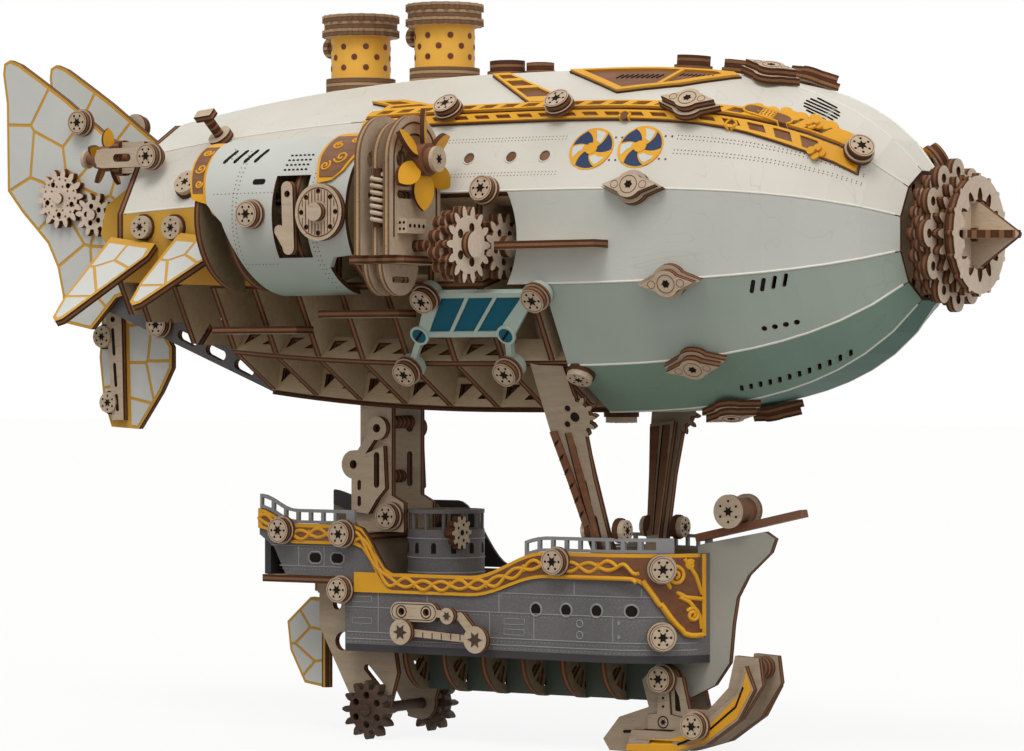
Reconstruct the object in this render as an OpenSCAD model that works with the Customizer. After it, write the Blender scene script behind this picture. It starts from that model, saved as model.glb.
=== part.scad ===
// Laser-cut plywood airship model: a twelve-sided envelope on ring bulkheads and
// ridge stringers, engine nacelles, a finned tail, and a ship-shaped gondola on struts.
// +X points to the nose, -Y to starboard, +Z up. The floor is Z = 0.

/* [Sheet stock] */
// Thickness of the plywood sheet
ply = 2; // [1.6:0.1:2.2]
// Thickness of the bent veneer skins
veneer = 0.8; // [0.6:0.1:1]
// Thickness of the gold and brown overlay strips
overlay = 0.6; // [0.4:0.1:0.8]

/* [Fits] */
// Gap between seated sheets
seat_gap = 0.1; // [0.05:0.05:0.2]
// Radial clearance of a turning dowel in its bore
run_gap = 0.05; // [0.03:0.01:0.08]
// Radius of the turning dowels
dowel_r = 1.5; // [1.3:0.1:1.7]

/* [Envelope] */
// Height of the envelope's axis above the floor
axis_z = 134; // [130:0.5:138]
// Largest distance from the axis to a facet
env_r = 44.2; // [42:0.2:45]
// Distance from the axis to a facet at the tail end
env_tail_r = 34.7; // [33:0.1:36]
// Station of the largest section
env_mid_x = 13; // [8:1:18]
// Station where the nose curve would close
env_nose_x = 141; // [139:0.5:143]
// Front edge of the facet panels
env_front_x = 135; // [133:0.5:136]
// Rear edge of the upper facet panels
env_tail_x = -96; // [-98:0.5:-94]
// Fullness of the nose curve
nose_power = 4; // [3.5:0.1:4.5]
// Gap at the ridge between two panels
ridge_gap = 0.3; // [0.1:0.1:0.5]
// Rear edge of the lower front panels
bay_front_x = 48; // [46:0.5:52]
// Rear edge of the side front panels
side_panel_x = 40; // [39:0.5:44]

/* [Frame] */
// Station of the first ring bulkhead
ring_x0 = -92; // [-93:0.5:-91]
// Distance between ring bulkheads
ring_step = 15; // [14.8:0.1:15.2]
// Station of the nose bulkhead
nose_ring_x = 131; // [130:0.5:132]
// Radial depth of the ridge stringers
stringer_h = 8; // [7:0.5:9]
// Radius of the lightening holes in the bulkheads
lighten_r = 8.5; // [6:0.5:9]
// Radius of the hole round the axis
core_r = 8; // [6:0.5:9]

/* [Nose rotor] */
// Radius of the wavy disc at its lobes
wavy_r = 19.3; // [18:0.1:20]
// Radius of the rear bead discs
bead_r = 17; // [16:0.1:18]
// Outer radius of the front ring
front_ring_r = 14.8; // [14:0.1:16]
// Radius of the opening in the front ring
front_hole_r = 10.4; // [10:0.1:11]
// Back face of the rotor
rotor_x = 137; // [136.5:0.1:138]
// Half height of the crossed nose cone
cone_h = 8; // [7:0.1:9]
// Tip of the nose cone
cone_tip_x = 160; // [158:0.5:162]
// Rear end of the nose axle
axle_rear_x = 116; // [114:0.5:116.5]
// Radius of the nose axle
axle_r = 2; // [1.6:0.1:2.4]

/* [Nacelles] */
// Distance of the nacelle's axis from the middle plane
nacelle_y = 42; // [41:0.2:43]
// Height of the nacelle's axis
nacelle_z = 141; // [140:0.2:142]
// Outer radius of the nacelle cover
nacelle_r = 21; // [20:0.2:22]
// Distance of the propeller shaft from the middle plane
prop_y = 58; // [57.8:0.1:59]
// Height of the propeller shaft
prop_z = 154; // [153:0.2:155]
// Radius of the propeller
prop_r = 13; // [11:0.2:13]
// Number of propeller blades
prop_blades = 6; // [4:1:7]
// Front face of the propeller hub
prop_x = 22; // [21:0.2:22.5]
// Radius of the engine arches
arch_r = 11.5; // [10.5:0.1:12]
// Station of the first engine arch
arch_x0 = 7.5; // [7:0.1:7.8]
// Distance between engine arches
arch_step = 4.5; // [4:0.1:4.6]
// Top of the catwalk planks
catwalk_z = 129.4; // [128.6:0.1:129.6]
// Outer edge of the catwalk planks
catwalk_y = 66; // [64:0.5:68]

/* [Gear train] */
// Module of the nacelle gears
gear_m = 1.27; // [1.2:0.01:1.3]
// Teeth of the drive gear
drive_teeth = 14; // [13:1:14]
// Teeth of the idler gear
idler_teeth = 12; // [11:1:12]
// Distance of the drive gear from the middle plane
drive_y = 58; // [57.5:0.1:59]
// Height of both gear axes
gear_z = 132; // [131.8:0.1:132.4]
// Middle of the gear plane
gear_x = 32.5; // [32:0.1:33.5]
// Thickness of the gears
gear_t = 3; // [2:0.1:3]
// Module of the tail gears
tail_m = 1.1; // [1:0.05:1.15]
// Teeth of the tail gear
tail_teeth = 14; // [12:1:14]
// Teeth of the tail pinion
tail_pinion_teeth = 10; // [10:1:11]

/* [Tail] */
// Distance of the fins from the middle plane
fin_y = 10.5; // [10.3:0.1:11]
// Distance of the tail cheeks from the middle plane
cheek_y = 16; // [15.8:0.1:17]
// Distance of the tail booms from the middle plane
boom_y = 8; // [7.5:0.1:8.1]
// Droop of the tail planes
droop = 43; // [40:1:46]
// Distance of the tail propellers from the middle plane
tail_prop_y = 22; // [21.5:0.1:23]
// Height of the tail propellers
tail_prop_z = 160; // [159:0.2:160.5]
// Radius of the tail propellers
tail_prop_r = 8.6; // [7.5:0.1:9]

/* [Chimneys] */
// Outer radius of the chimney tubes
flue_r = 8.2; // [7.8:0.1:8.6]
// Wall of the chimney tubes
flue_wall = 1.4; // [1:0.1:1.8]
// Radius of the chimney rims
rim_r = 10.7; // [10.4:0.1:11]
// Height of the chimney tubes above their bases
flue_h = 11.5; // [10:0.5:13]
// Station of the rear chimney
flue_rear_x = -40.5; // [-42:0.5:-40]
// Station of the front chimney
flue_front_x = -12.5; // [-13:0.5:-11]

/* [Gondola] */
// Half width of the gondola hull
hull_half = 18; // [17:0.2:19]
// Stern end of the hull
stern_x = -62; // [-63:0.5:-61]
// Station where the bow starts to close
bow_x = 48; // [46:0.5:50]
// Length of the closing bow
bow_len = 24; // [23:0.5:25]
// Lower edge of the hull sides
hull_low = 26; // [25.5:0.1:26.5]
// Height of the stern's upper edge
stern_top = 58.2; // [57.8:0.1:59]
// Height of the low sheer amidships
waist_top = 45.5; // [45:0.1:46.5]
// Height of the bow's upper edge
bow_top = 52.5; // [51.5:0.1:53.5]
// Underside of the stern counter
counter_z = 42; // [41:0.1:42.4]
// Wall of the hull sides
hull_wall = 1; // [0.8:0.1:1.2]
// Top of the main deck
deck_z = 44; // [43.5:0.1:44.5]
// Height of the railings
rail_h = 4; // [3.4:0.1:5]
// Radius of the gun turret
turret_r = 10.5; // [9.5:0.1:11]
// Radius of the rib discs under the hull
rib_r = 11; // [10:0.1:11.5]

/* [Landing gear] */
// Radius of the stern wheels at the tooth tips
wheel_r = 8; // [7:0.1:8.5]
// Station of the stern wheel axle
wheel_x = -27; // [-28:0.5:-26]
// Distance of the stern wheels from the middle plane
wheel_y = 15; // [14.5:0.1:16]
// Distance of the bow skid plates from the middle plane
skid_y = 5; // [4.8:0.1:6]
// Limit of the rudder blade from its post
rudder_len = 13; // [11:0.5:14]

/* [Hidden] */
$fn = 48;

ply_color = [0.82, 0.70, 0.55];
edge_color = [0.45, 0.28, 0.17];
white = [0.89, 0.88, 0.85];
gold = [0.90, 0.65, 0.16];
slate = [0.33, 0.33, 0.35];
facet = 30;
half_facet = facet / 2;
// Bends along a facet panel, and the shortest straight stretch
bends = 33;
bend_min = 0.05;
nose_round = 0.6;
idler_y = drive_y - gear_m * (drive_teeth + idler_teeth) / 2;
// Rise of the sheer at the stern's end
stern_lift = 4;
// Half width of a facet at the largest section
half_side = env_r * tan(half_facet);
tail_gear_x = -136.7;
tail_gear_z = 149.7;
tail_gear_gap = tail_m * (tail_teeth + tail_pinion_teeth) / 2;
tail_pinion_x = tail_gear_x + tail_gear_gap * cos(22);
tail_pinion_z = tail_gear_z - tail_gear_gap * sin(22);
ring_count = 15;
ring_xs = concat([for (i = [0 : ring_count - 1]) ring_x0 + i * ring_step], [nose_ring_x]);
tail_face_x = env_tail_x - seat_gap;
bay_rear_x = ring_x0 + 2 * ring_step;
gear_ring_x = ring_x0 + 8 * ring_step;
skin = env_r + veneer;

// Smooth curve of the envelope at station x
function env_curve(x) =
    x > env_mid_x
        ? env_r * pow(1 - pow((x - env_mid_x) / (env_nose_x - env_mid_x), nose_power), nose_round)
        : env_r - (env_r - env_tail_r) * pow((env_mid_x - x) / (env_mid_x - env_tail_x), 2);
// Stations at which a facet panel bends
function bend_x(i) = env_tail_x + (env_front_x - env_tail_x) * i / bends;
// Distance from the axis to a facet's inner face at station x, straight between two bends
function env(x) =
    let (i = min(max(floor((x - env_tail_x) / (bend_x(1) - bend_x(0))), 0), bends - 1))
    let (r0 = env_curve(bend_x(i)))
    let (r1 = env_curve(bend_x(i + 1)))
    r0 + (r1 - r0) * (x - bend_x(i)) / (bend_x(i + 1) - bend_x(i));
// The bends between two stations, with both ends
function stations(x0, x1) = concat(
    [x0],
    [for (i = [0 : bends]) if (bend_x(i) > x0 + bend_min && bend_x(i) < x1 - bend_min) bend_x(i)],
    [x1]
);
// Upper edge of the tail booms at station x
function boom_top(x) = 100.5 + 0.42 * (bay_rear_x - x);
// Smooth step from 0 to 1 between a and b
function ramp(x, a, b) = x < a ? 0 : x > b ? 1 : (1 - cos(180 * (x - a) / (b - a))) / 2;
// Upper edge of the gondola side at station x
function sheer(x) =
    stern_top + stern_lift * (1 - ramp(x, stern_x, stern_x + 12))
    + (waist_top - stern_top) * ramp(x, -29, -17)
    + (bow_top - waist_top) * ramp(x, 8, 32);
// Lower edge of the gondola's gold band at station x
function band_low(x) =
    sheer(x) - 5.4 - 15 * ramp(x, bow_x + 10, bow_x + 22)
    - 1.5 * ramp(x, 8, 32);

module pair() {
    children();
    mirror([0, 1, 0]) children();
}
// A sheet square to X, drawn in (y, z), centred on x
module sheet_x(x, t = ply) {
    translate([x - t / 2, 0, 0]) rotate([90, 0, 90]) linear_extrude(t) children();
}
// A sheet along the keel, drawn in (x, z), centred on y
module sheet_y(y, t = ply) {
    translate([0, y + t / 2, 0]) rotate([90, 0, 0]) linear_extrude(t) children();
}
// A level sheet, drawn in (x, y), with its underside at z
module sheet_z(z, t = ply) {
    translate([0, 0, z]) linear_extrude(t) children();
}
module rod_x(x0, x1, y, z, r) {
    translate([x0, y, z]) rotate([0, 90, 0]) cylinder(h = x1 - x0, r = r);
}
module rod_y(x, y0, y1, z, r) {
    translate([x, y0, z]) rotate([-90, 0, 0]) cylinder(h = y1 - y0, r = r);
}
module slot_2d(x0, y0, x1, y1, w) {
    length = norm([x1 - x0, y1 - y0]);
    translate([x0, y0]) rotate(atan2(y1 - y0, x1 - x0)) union() {
        translate([0, -w / 2]) square([length, w]);
        circle(d = w);
        translate([length, 0]) circle(d = w);
    }
}
// Involute gear outline with a bore
function inv_deg(a) = tan(a) * 180 / PI - a;
function flank(teeth, m, i) =
    let (pitch_r = m * teeth / 2)
    let (base_r = pitch_r * cos(25))
    let (root_r = pitch_r - 1.15 * m)
    let (tip_r = pitch_r + 0.8 * m)
    let (r = root_r + (tip_r - root_r) * i / 5)
    let (half = 90 / teeth - 0.14 * 180 / PI / pitch_r + inv_deg(25))
    [r, half - (r > base_r ? inv_deg(acos(base_r / r)) : 0)];
module gear_2d(teeth, m, bore) {
    points = [
        for (k = [0 : teeth - 1])
        for (s = [-1, 1])
        for (j = [0 : 5])
        let (f = flank(teeth, m, s < 0 ? j : 5 - j))
        let (a = 360 * k / teeth + s * f[1])
        [f[0] * cos(a), f[0] * sin(a)]
    ];
    difference() {
        polygon(points);
        circle(r = bore);
    }
}
module ring_holes_2d(count, at, r) {
    for (i = [0 : count - 1]) rotate(360 * i / count) translate([at, 0]) circle(r = r);
}
module lobes_2d(count, r, lobe) {
    circle(r = r - lobe);
    ring_holes_2d(count, r - lobe, lobe);
}
module dodecagon_2d(apothem) {
    rotate(half_facet) circle(r = apothem / cos(half_facet), $fn = 12);
}

// Turns a shape built on the crown round the axis to facet k, counted to starboard
module on_facet(k) {
    translate([0, 0, axis_z]) rotate([facet * k, 0, 0]) children();
}
module on_ridge(angle) {
    translate([0, 0, axis_z]) rotate([angle, 0, 0]) children();
}
// A skin that follows the crown facet between two heights above its inner face
module skin_band(x0, x1, low, high) {
    xs = stations(x0, x1);
    upper = [for (x = xs) [x, env(x) + high]];
    lower = [for (i = [len(xs) - 1 : -1 : 0]) [xs[i], env(xs[i]) + low]];
    sheet_y(0, 2 * skin) polygon(concat(upper, lower));
}
module facet_wedge(x0, x1) {
    apex = ridge_gap / 2 / sin(half_facet);
    reach = 1.2 * skin;
    translate([x0 - 1, 0, 0]) rotate([90, 0, 90]) linear_extrude(x1 - x0 + 2)
        polygon([
            [0, apex],
            [reach * tan(half_facet), apex + reach],
            [-reach * tan(half_facet), apex + reach]
        ]);
}
module panel(x0, x1) {
    intersection() {
        skin_band(x0, x1, 0, veneer);
        facet_wedge(x0, x1);
    }
}
// An overlay cut to the children's plan outline and bent over the crown facet
module applique(x0, x1, low, high) {
    intersection() {
        skin_band(x0, x1, veneer + low, veneer + high);
        linear_extrude(2 * skin) children();
    }
}

module crown_panel() {
    color(white) on_facet(0) panel(env_tail_x, env_front_x);
}
module upper_panels() {
    color(white) pair() on_facet(1) panel(env_tail_x, env_front_x);
}
porthole_xs = [22, 35, 45.2];
porthole_y = -1.6;
module shoulder_panels() {
    color(white) pair() on_facet(2) difference() {
        panel(env_tail_x, env_front_x);
        for (x = porthole_xs) translate([x, porthole_y, 0]) cylinder(r = 1.5, h = 2 * skin);
    }
}
vent_pitch = 2.6;
module side_panels() {
    color(white) pair() on_facet(3) difference() {
        panel(side_panel_x - 6, env_front_x);
        translate([side_panel_x - 26, 0, 0]) cylinder(r = 26, h = 2 * skin);
    }
}
module lower_panels() {
    color([0.80, 0.83, 0.80]) pair() on_facet(4) difference() {
        panel(bay_front_x, env_front_x);
        for (i = [0 : 3]) translate([103.6 + i * vent_pitch, 0, 0]) linear_extrude(2 * skin) {
            slot_2d(0, 5.4, 1, 8, 0.9);
            translate([0.5, -5.3]) circle(r = 0.7);
        }
    }
}
module bilge_panels() {
    color([0.66, 0.75, 0.70]) pair() on_facet(5) difference() {
        panel(bay_front_x, env_front_x);
        for (i = [0 : 11]) translate([89.6 + i * vent_pitch, -5, 0]) linear_extrude(2 * skin)
            slot_2d(0, -0.8, 0.6, 0.8, 0.9);
    }
}
module keel_panel() {
    color([0.55, 0.64, 0.58]) on_facet(6) panel(bay_rear_x - ply / 2, env_front_x);
}

// Ridges at which the stringers stand, counted from the crown to starboard
ridges = [for (i = [0 : 11]) half_facet + facet * i];
function stringer_r(x) = env(x) / cos(half_facet) - ply / 2 * tan(half_facet) - seat_gap;
module ring_2d(x) {
    r = min(env(x - ply / 2), env(x + ply / 2)) - seat_gap;
    inner = stringer_r(x + ply / 2 * sign(x)) - stringer_h - seat_gap;
    hole = min(lighten_r, (r - stringer_h - core_r) / 2 - ply);
    translate([0, axis_z]) difference() {
        dodecagon_2d(r);
        for (a = ridges) rotate(a + 90) translate([inner, -ply / 2 - seat_gap / 2])
            square([stringer_h * 2, ply + seat_gap]);
        if (x == nose_ring_x || x > axle_rear_x) circle(r = axle_r + run_gap);
        else circle(r = core_r);
        if (hole > 3) ring_holes_2d(6, (r - stringer_h + core_r) / 2, hole);
    }
}
module idler_lug_2d() {
    translate([idler_y, gear_z]) circle(r = 3 * dowel_r);
    mirror([1, 0]) translate([idler_y, gear_z]) circle(r = 3 * dowel_r);
}
module idler_bores_2d() {
    translate([idler_y, gear_z]) circle(r = dowel_r + run_gap);
    mirror([1, 0]) translate([idler_y, gear_z]) circle(r = dowel_r + run_gap);
}
// Keeps what lies above the tail booms
module above_boom(x) {
    intersection() {
        children();
        translate([-skin, boom_top(x - ply / 2) + seat_gap]) square(2 * skin);
    }
}
tail_plate_r = env_tail_r + veneer;
module bulkheads() {
    color(ply_color) {
        for (x = ring_xs) sheet_x(x) difference() {
            union() {
                if (x < bay_rear_x) above_boom(x) ring_2d(x);
                else ring_2d(x);
                if (x == gear_ring_x) idler_lug_2d();
            }
            if (x == gear_ring_x) idler_bores_2d();
        }
        sheet_x(tail_face_x - ply / 2) difference() {
            above_boom(tail_face_x - ply / 2) translate([0, axis_z]) dodecagon_2d(tail_plate_r);
            translate([0, axis_z]) ring_holes_2d(6, (tail_plate_r - stringer_h + core_r) / 2, lighten_r);
        }
    }
}
module stringer_2d(x0, x1) {
    xs = stations(x0, x1);
    polygon(concat(
        [for (x = xs) [x, stringer_r(x)]],
        [for (i = [len(xs) - 1 : -1 : 0]) [xs[i], stringer_r(xs[i]) - stringer_h]]
    ));
}
// Pairs of triangular cut-outs between the bulkheads of the open bay
module bay_triangles_2d() {
    for (i = [2 : 7]) let (x = ring_x0 + i * ring_step)
        let (z0 = stringer_r(x) - stringer_h + 1.8)
        let (z1 = z0 + stringer_h - 3.8) {
        polygon([[x + 2.2, z0], [x + 6.6, z0], [x + 2.2, z1]]);
        polygon([[x + ring_step - 2.2, z1], [x + 8.2, z1], [x + ring_step - 2.2, z0]]);
    }
}
module stringers() {
    front_x = nose_ring_x + ply / 2 - 2;
    rear_x = ring_x0 - ply / 2;
    color(ply_color) for (a = ridges) {
        from_crown = a > 180 ? 360 - a : a;
        on_ridge(a) sheet_y(0) {
            if (from_crown < 100) stringer_2d(rear_x, front_x);
            else if (from_crown < 110) {
                stringer_2d(bay_rear_x - ply / 2, gear_ring_x + ply / 2);
                stringer_2d(gear_ring_x + ring_step - ply / 2, front_x);
            }
            else difference() {
                stringer_2d(bay_rear_x - ply / 2, front_x);
                bay_triangles_2d();
            }
        }
    }
}

module nose_rotor() {
    color(ply_color) translate([0, 0, axis_z]) {
        for (i = [0, 1]) sheet_x(rotor_x + (i + 0.5) * ply) difference() {
            rotate(i * 10) lobes_2d(18, bead_r + i * 0.6, 1.6);
            circle(r = axle_r);
        }
        sheet_x(rotor_x + 2.5 * ply) difference() {
            lobes_2d(12, wavy_r, 3.4);
            ring_holes_2d(12, wavy_r - 3.2, 1.2);
            circle(r = axle_r);
        }
        sheet_x(rotor_x + 3.5 * ply) gear_2d(20, 1.4, axle_r);
        sheet_x(rotor_x + 4.5 * ply) difference() {
            circle(r = front_ring_r - 2.6);
            circle(r = axle_r);
        }
        sheet_x(rotor_x + 5.5 * ply) difference() {
            union() {
                circle(r = front_ring_r);
                ring_holes_2d(16, front_ring_r, 0.7);
            }
            gear_2d(12, front_hole_r / 6, 0.4);
            circle(r = front_hole_r - 1.5);
        }
    }
}
module nose_cone() {
    x0 = rotor_x + 5 * ply;
    half = cone_h;
    color(ply_color) translate([0, 0, axis_z]) difference() {
        union() for (a = [0, 90]) rotate([a, 0, 0]) sheet_y(0)
            polygon([
                [x0, -half + 0.6], [x0 + 1.2, -half], [x0 + 2.4, -half],
                [cone_tip_x, -0.4], [cone_tip_x, 0.4],
                [x0 + 2.4, half], [x0 + 1.2, half], [x0, half - 0.6]
            ]);
        rod_x(x0 - 1, x0 + ply, 0, 0, axle_r);
    }
}
module nose_axle() {
    color(edge_color) rod_x(axle_rear_x, rotor_x + 6 * ply, 0, axis_z, axle_r);
}

// Outer edge of the crown facet at station x
function facet_half(x) = (env(x) + veneer) * tan(half_facet);
// Width of the ridge trim above and below the upper ridge
trim_up = 4;
trim_down = 3.2;
trim_x0 = -16;
trim_x1 = 126;
// Width of a trim strip at station x, wider towards the nose
function strip_w(x, w) = w * (1 + 0.6 * ramp(x, 84, 118));
// A strip along the lower edge of the upper facet
module trim_strip_2d(w, inset) {
    xs = stations(trim_x0 + inset, trim_x1 - inset);
    polygon(concat(
        [for (x = xs) [x, inset + 0.2 - facet_half(x)]],
        [for (i = [len(xs) - 1 : -1 : 0]) [xs[i], strip_w(xs[i], w) - inset - facet_half(xs[i])]]
    ));
}
// Slanted openings along a strip
fret_pitch = 6.6;
module fret_cells_2d(w) {
    for (x = [trim_x0 + 3 : fret_pitch : trim_x1 - 8]) polygon([
        [x, 1.1 - facet_half(x)], [x + 4.2, 1.1 - facet_half(x + 4.2)],
        [x + 5.4, strip_w(x, w) - 0.9 - facet_half(x + 5.4)],
        [x + 1.2, strip_w(x, w) - 0.9 - facet_half(x + 1.2)]
    ]);
}
module fret_strip_2d(w) {
    difference() {
        trim_strip_2d(w, 0.3);
        fret_cells_2d(w);
    }
}
// Slanted girder that climbs from the trim to the crown, between two shares of its height
girder_low = -8;
girder_rise = 18.6;
function girder_left(t) = 34 - 22 * t;
function girder_right(t) = 47 - 29 * t;
module girder_2d(t0, t1, inset) {
    polygon([
        [girder_left(t0) + inset, girder_low + girder_rise * t0],
        [girder_right(t0) - inset, girder_low + girder_rise * t0],
        [girder_right(t1) - inset, girder_low + girder_rise * t1],
        [girder_left(t1) + inset, girder_low + girder_rise * t1]
    ]);
}
module clover_2d() {
    for (x = [101, 108, 115]) translate([x, strip_w(x, trim_up) - 1 - facet_half(x)]) {
        circle(r = 2.2);
        translate([2, 1.5]) circle(r = 1.5);
        translate([-2, 1.5]) circle(r = 1.5);
    }
}
module wing_2d() {
    polygon([[-20, -1.4], [-9, -2.2], [2, -6.4], [12, -7.6], [12, -8.6], [-13, -8.6], [-12, -5]]);
}
module wing_openings_2d() {
    polygon([[-15, -2.8], [-9.4, -3.3], [-4.6, -5.2], [-10.6, -5.2]]);
    polygon([[-10, -6.2], [-1, -6.2], [2, -7.4], [-10.6, -7.4]]);
}
// Pointed frame on the upper facet, just below the crown
module dorsal_2d(share) {
    translate([62, 6]) scale(share)
        polygon([[-26, 5], [-4.5, -8.4], [12, -4], [26, 3.2], [24, 4.4], [-2, 5]]);
}
module trim_base() {
    color(edge_color) pair() {
        on_facet(1) applique(trim_x0 - 5, trim_x1, 0, overlay) union() {
            trim_strip_2d(trim_up, 0);
            girder_2d(0, 1, 0);
            wing_2d();
            dorsal_2d(1);
        }
        on_facet(2) applique(trim_x0, trim_x1, 0, overlay) mirror([0, 1]) trim_strip_2d(trim_down, 0);
    }
}
module trim_fret() {
    color(gold) pair() {
        on_facet(1) applique(trim_x0 - 5, trim_x1, overlay, 2 * overlay) {
            fret_strip_2d(trim_up);
            difference() {
                girder_2d(0, 1, 0.3);
                girder_2d(0.16, 0.46, 1.5);
                girder_2d(0.54, 0.72, 1.4);
                girder_2d(0.8, 0.93, 1.3);
            }
            clover_2d();
            difference() {
                wing_2d();
                wing_openings_2d();
            }
            difference() {
                dorsal_2d(0.98);
                difference() {
                    dorsal_2d(0.8);
                    slot_2d(66, -4, 72, 12, 1.2);
                }
            }
        }
        on_facet(2) applique(trim_x0, trim_x1, overlay, 2 * overlay) mirror([0, 1]) fret_strip_2d(trim_down);
    }
}

// Lozenge plates bolted over the ridges: station and ridge angle
boss_places = [[95, 15], [84, 45], [74.5, 75], [84.5, 105], [85, 135], [84, 165]];
function env_slope(x) = atan((env(x + 1) - env(x - 1)) / 2);
module lozenge_2d(half_len, r) {
    polygon([[-half_len, 0], [0, r * 0.9], [half_len, 0], [0, -r * 0.9]]);
    circle(r = r);
}
trim_ridge = 45;
module ridge_bosses() {
    color(ply_color) pair() for (b = boss_places)
        let (under = veneer + (b[1] == trim_ridge ? 2 * overlay : 0))
        on_ridge(b[1]) translate([b[0], 0, (env(b[0]) + under) / cos(half_facet) + seat_gap])
        rotate([0, -env_slope(b[0]), 0]) {
            linear_extrude(ply) difference() {
                lozenge_2d(8.6, 4.4);
                circle(r = 0.9);
            }
            translate([0, 0, ply]) linear_extrude(ply) difference() {
                lozenge_2d(7.4, 3.4);
                circle(r = 0.9);
            }
        }
}

cap_r = 3.4;
washer_r = 3.9;
washer_t = 1.2;
// A bolt cap on a washer, standing on z = 0
module cap() {
    linear_extrude(washer_t) difference() {
        circle(r = washer_r);
        circle(r = 0.8);
    }
    translate([0, 0, washer_t]) linear_extrude(ply) difference() {
        circle(r = cap_r);
        circle(r = 0.8);
        ring_holes_2d(6, 2.1, 0.35);
    }
}
module cap_out(x, y, z) {
    translate([x, -y, z]) rotate([90, 0, 0]) cap();
}
hull_face = hull_half + overlay + seat_gap;
bow_arc_r = (pow(bow_len, 2) + pow(hull_half, 2)) / (2 * hull_half);
// A cap that stands square on the curved bow
module bow_cap(x, z) {
    turn = asin((x - bow_x) / (bow_arc_r + overlay));
    translate([bow_x, bow_arc_r - hull_half, z]) rotate([0, 0, turn])
        translate([0, -bow_arc_r - overlay - 3 * seat_gap, 0]) rotate([90, 0, 0]) cap();
}
module ridge_cap(x, angle, under) {
    on_ridge(angle) translate([x, 0, (env(x) + veneer + under) / cos(half_facet) + 2 * seat_gap])
        rotate([0, -env_slope(x), 0]) cap();
}
boom_cap_x = -103;
module bolt_caps() {
    color(ply_color) pair() {
        // caps on the gondola's sides
        for (x = [-53, -32.6, 36]) cap_out(x, hull_face, sheer(x) - 2.4);
        cap_out(-33.5, hull_half + seat_gap, 40.6);
        for (z = [48.6, 31]) bow_cap(bow_x + 16, z);
        // caps on the nacelle covers and the tail
        cap_out(-30.5, nacelle_y + nacelle_r + seat_gap, nacelle_z);
        cap_out(-129.6, fin_y + ply / 2 + seat_gap, 171.3);
        cap_out(-102.6, cheek_y + ply / 2 + seat_gap, 149.6);
        cap_out(boom_cap_x, boom_y + ply / 2 + seat_gap, boom_top(boom_cap_x) - boom_h / 2);
        // caps on the skid plates and the rear strut
        cap_out(skid_pivot[0], skid_y + ply / 2 + seat_gap, skid_pivot[1]);
        cap_out(72, skid_y + 1.5 * ply + seat_gap, 8);
        cap_out(strut_cap[0], strut_y + ply / 2 + seat_gap, strut_cap[1]);
        cap_out(arm_cap[0], arm_y + ply / 2 + seat_gap, arm_cap[1]);
        // caps on the ridges: over the trim, and above the gears
        for (x = [12, 46.3, 125.4]) ridge_cap(x, trim_ridge, 2 * overlay);
        ridge_cap(31, trim_ridge + facet, 0);
        // caps on the window's corners and feet
        on_facet(4) for (p = window_caps) translate([p[0], p[1], window_lift + ply + seat_gap]) cap();
    }
    // caps along the crown: station and size
    color(ply_color) for (c = [[8, 1.4], [18.5, 1.1], [66, 1.3], [79.4, 1.1]])
        translate([c[0], 0, axis_z + env(c[0]) + veneer + 2 * seat_gap])
        rotate([0, -env_slope(c[0]), 0]) scale(c[1]) cap();
}

module chimney_at(x, lift) {
    translate([x, 0, axis_z + env(x) + veneer + lift]) children();
}
flue_xs = [flue_rear_x, flue_front_x];
base_h = 2 * ply;
module chimney_bases() {
    color(ply_color) for (x = flue_xs) {
        difference() {
            translate([x, 0, axis_z]) cylinder(r = flue_r + 1.4, h = env(x) + veneer + base_h);
            on_facet(0) skin_band(x - 20, x + 20, -skin, veneer + seat_gap);
            translate([x, 0, axis_z]) cylinder(r = flue_r - flue_wall, h = 2 * skin);
        }
    }
}
module chimney_tubes() {
    color(gold) for (x = flue_xs) chimney_at(x, base_h) difference() {
        cylinder(r = flue_r, h = flue_h);
        translate([0, 0, -1]) cylinder(r = flue_r - flue_wall, h = flue_h + 2);
        for (row = [0 : 2], i = [0 : 7])
            rotate(45 * i + 22.5 * row) translate([0, 0, flue_h * (row + 1) / 4])
            rotate([0, 90, 0]) cylinder(r = 0.75, h = 2 * flue_r, $fn = 16);
    }
}
module chimney_rims() {
    color(ply_color) for (x = flue_xs) chimney_at(x, base_h + flue_h) {
        for (i = [0 : 2]) translate([0, 0, i * ply]) linear_extrude(ply) difference() {
            union() {
                circle(r = rim_r - 0.6);
                if (i != 1) ring_holes_2d(20, rim_r - 0.9, 0.9);
            }
            circle(r = flue_r - flue_wall);
        }
        // ring handle under the rear edge
        sheet_y(0) translate([1.5 - rim_r, -2.3]) difference() {
            circle(r = 3.1);
            circle(r = 1.6);
            translate([rim_r - 1.5 - flue_r - seat_gap, -5]) square(10);
        }
    }
}

cover_wall = 1.2;
// Nacelle section to starboard, drawn in (y, z)
module nacelle_2d(r_out, r_in) {
    translate([-nacelle_y, nacelle_z]) difference() {
        circle(r = r_out);
        if (r_in > 0) circle(r = r_in);
    }
}
// The starboard side of the envelope, with room for a piece that seats on it
module envelope_side(x0, x1) {
    intersection_for (k = [2 : 4]) on_facet(k) skin_band(x0, x1, -skin, veneer + 2 * seat_gap);
}
module sleeve(x0, x1, r_out, r_in) {
    difference() {
        sheet_x((x0 + x1) / 2, x1 - x0) nacelle_2d(r_out, r_in);
        envelope_side(x0 - 1, x1 + 1);
    }
}
// Cuts through the outer side of a nacelle
module from_side() {
    sheet_y(-nacelle_y - 15, 50) children();
}
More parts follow.
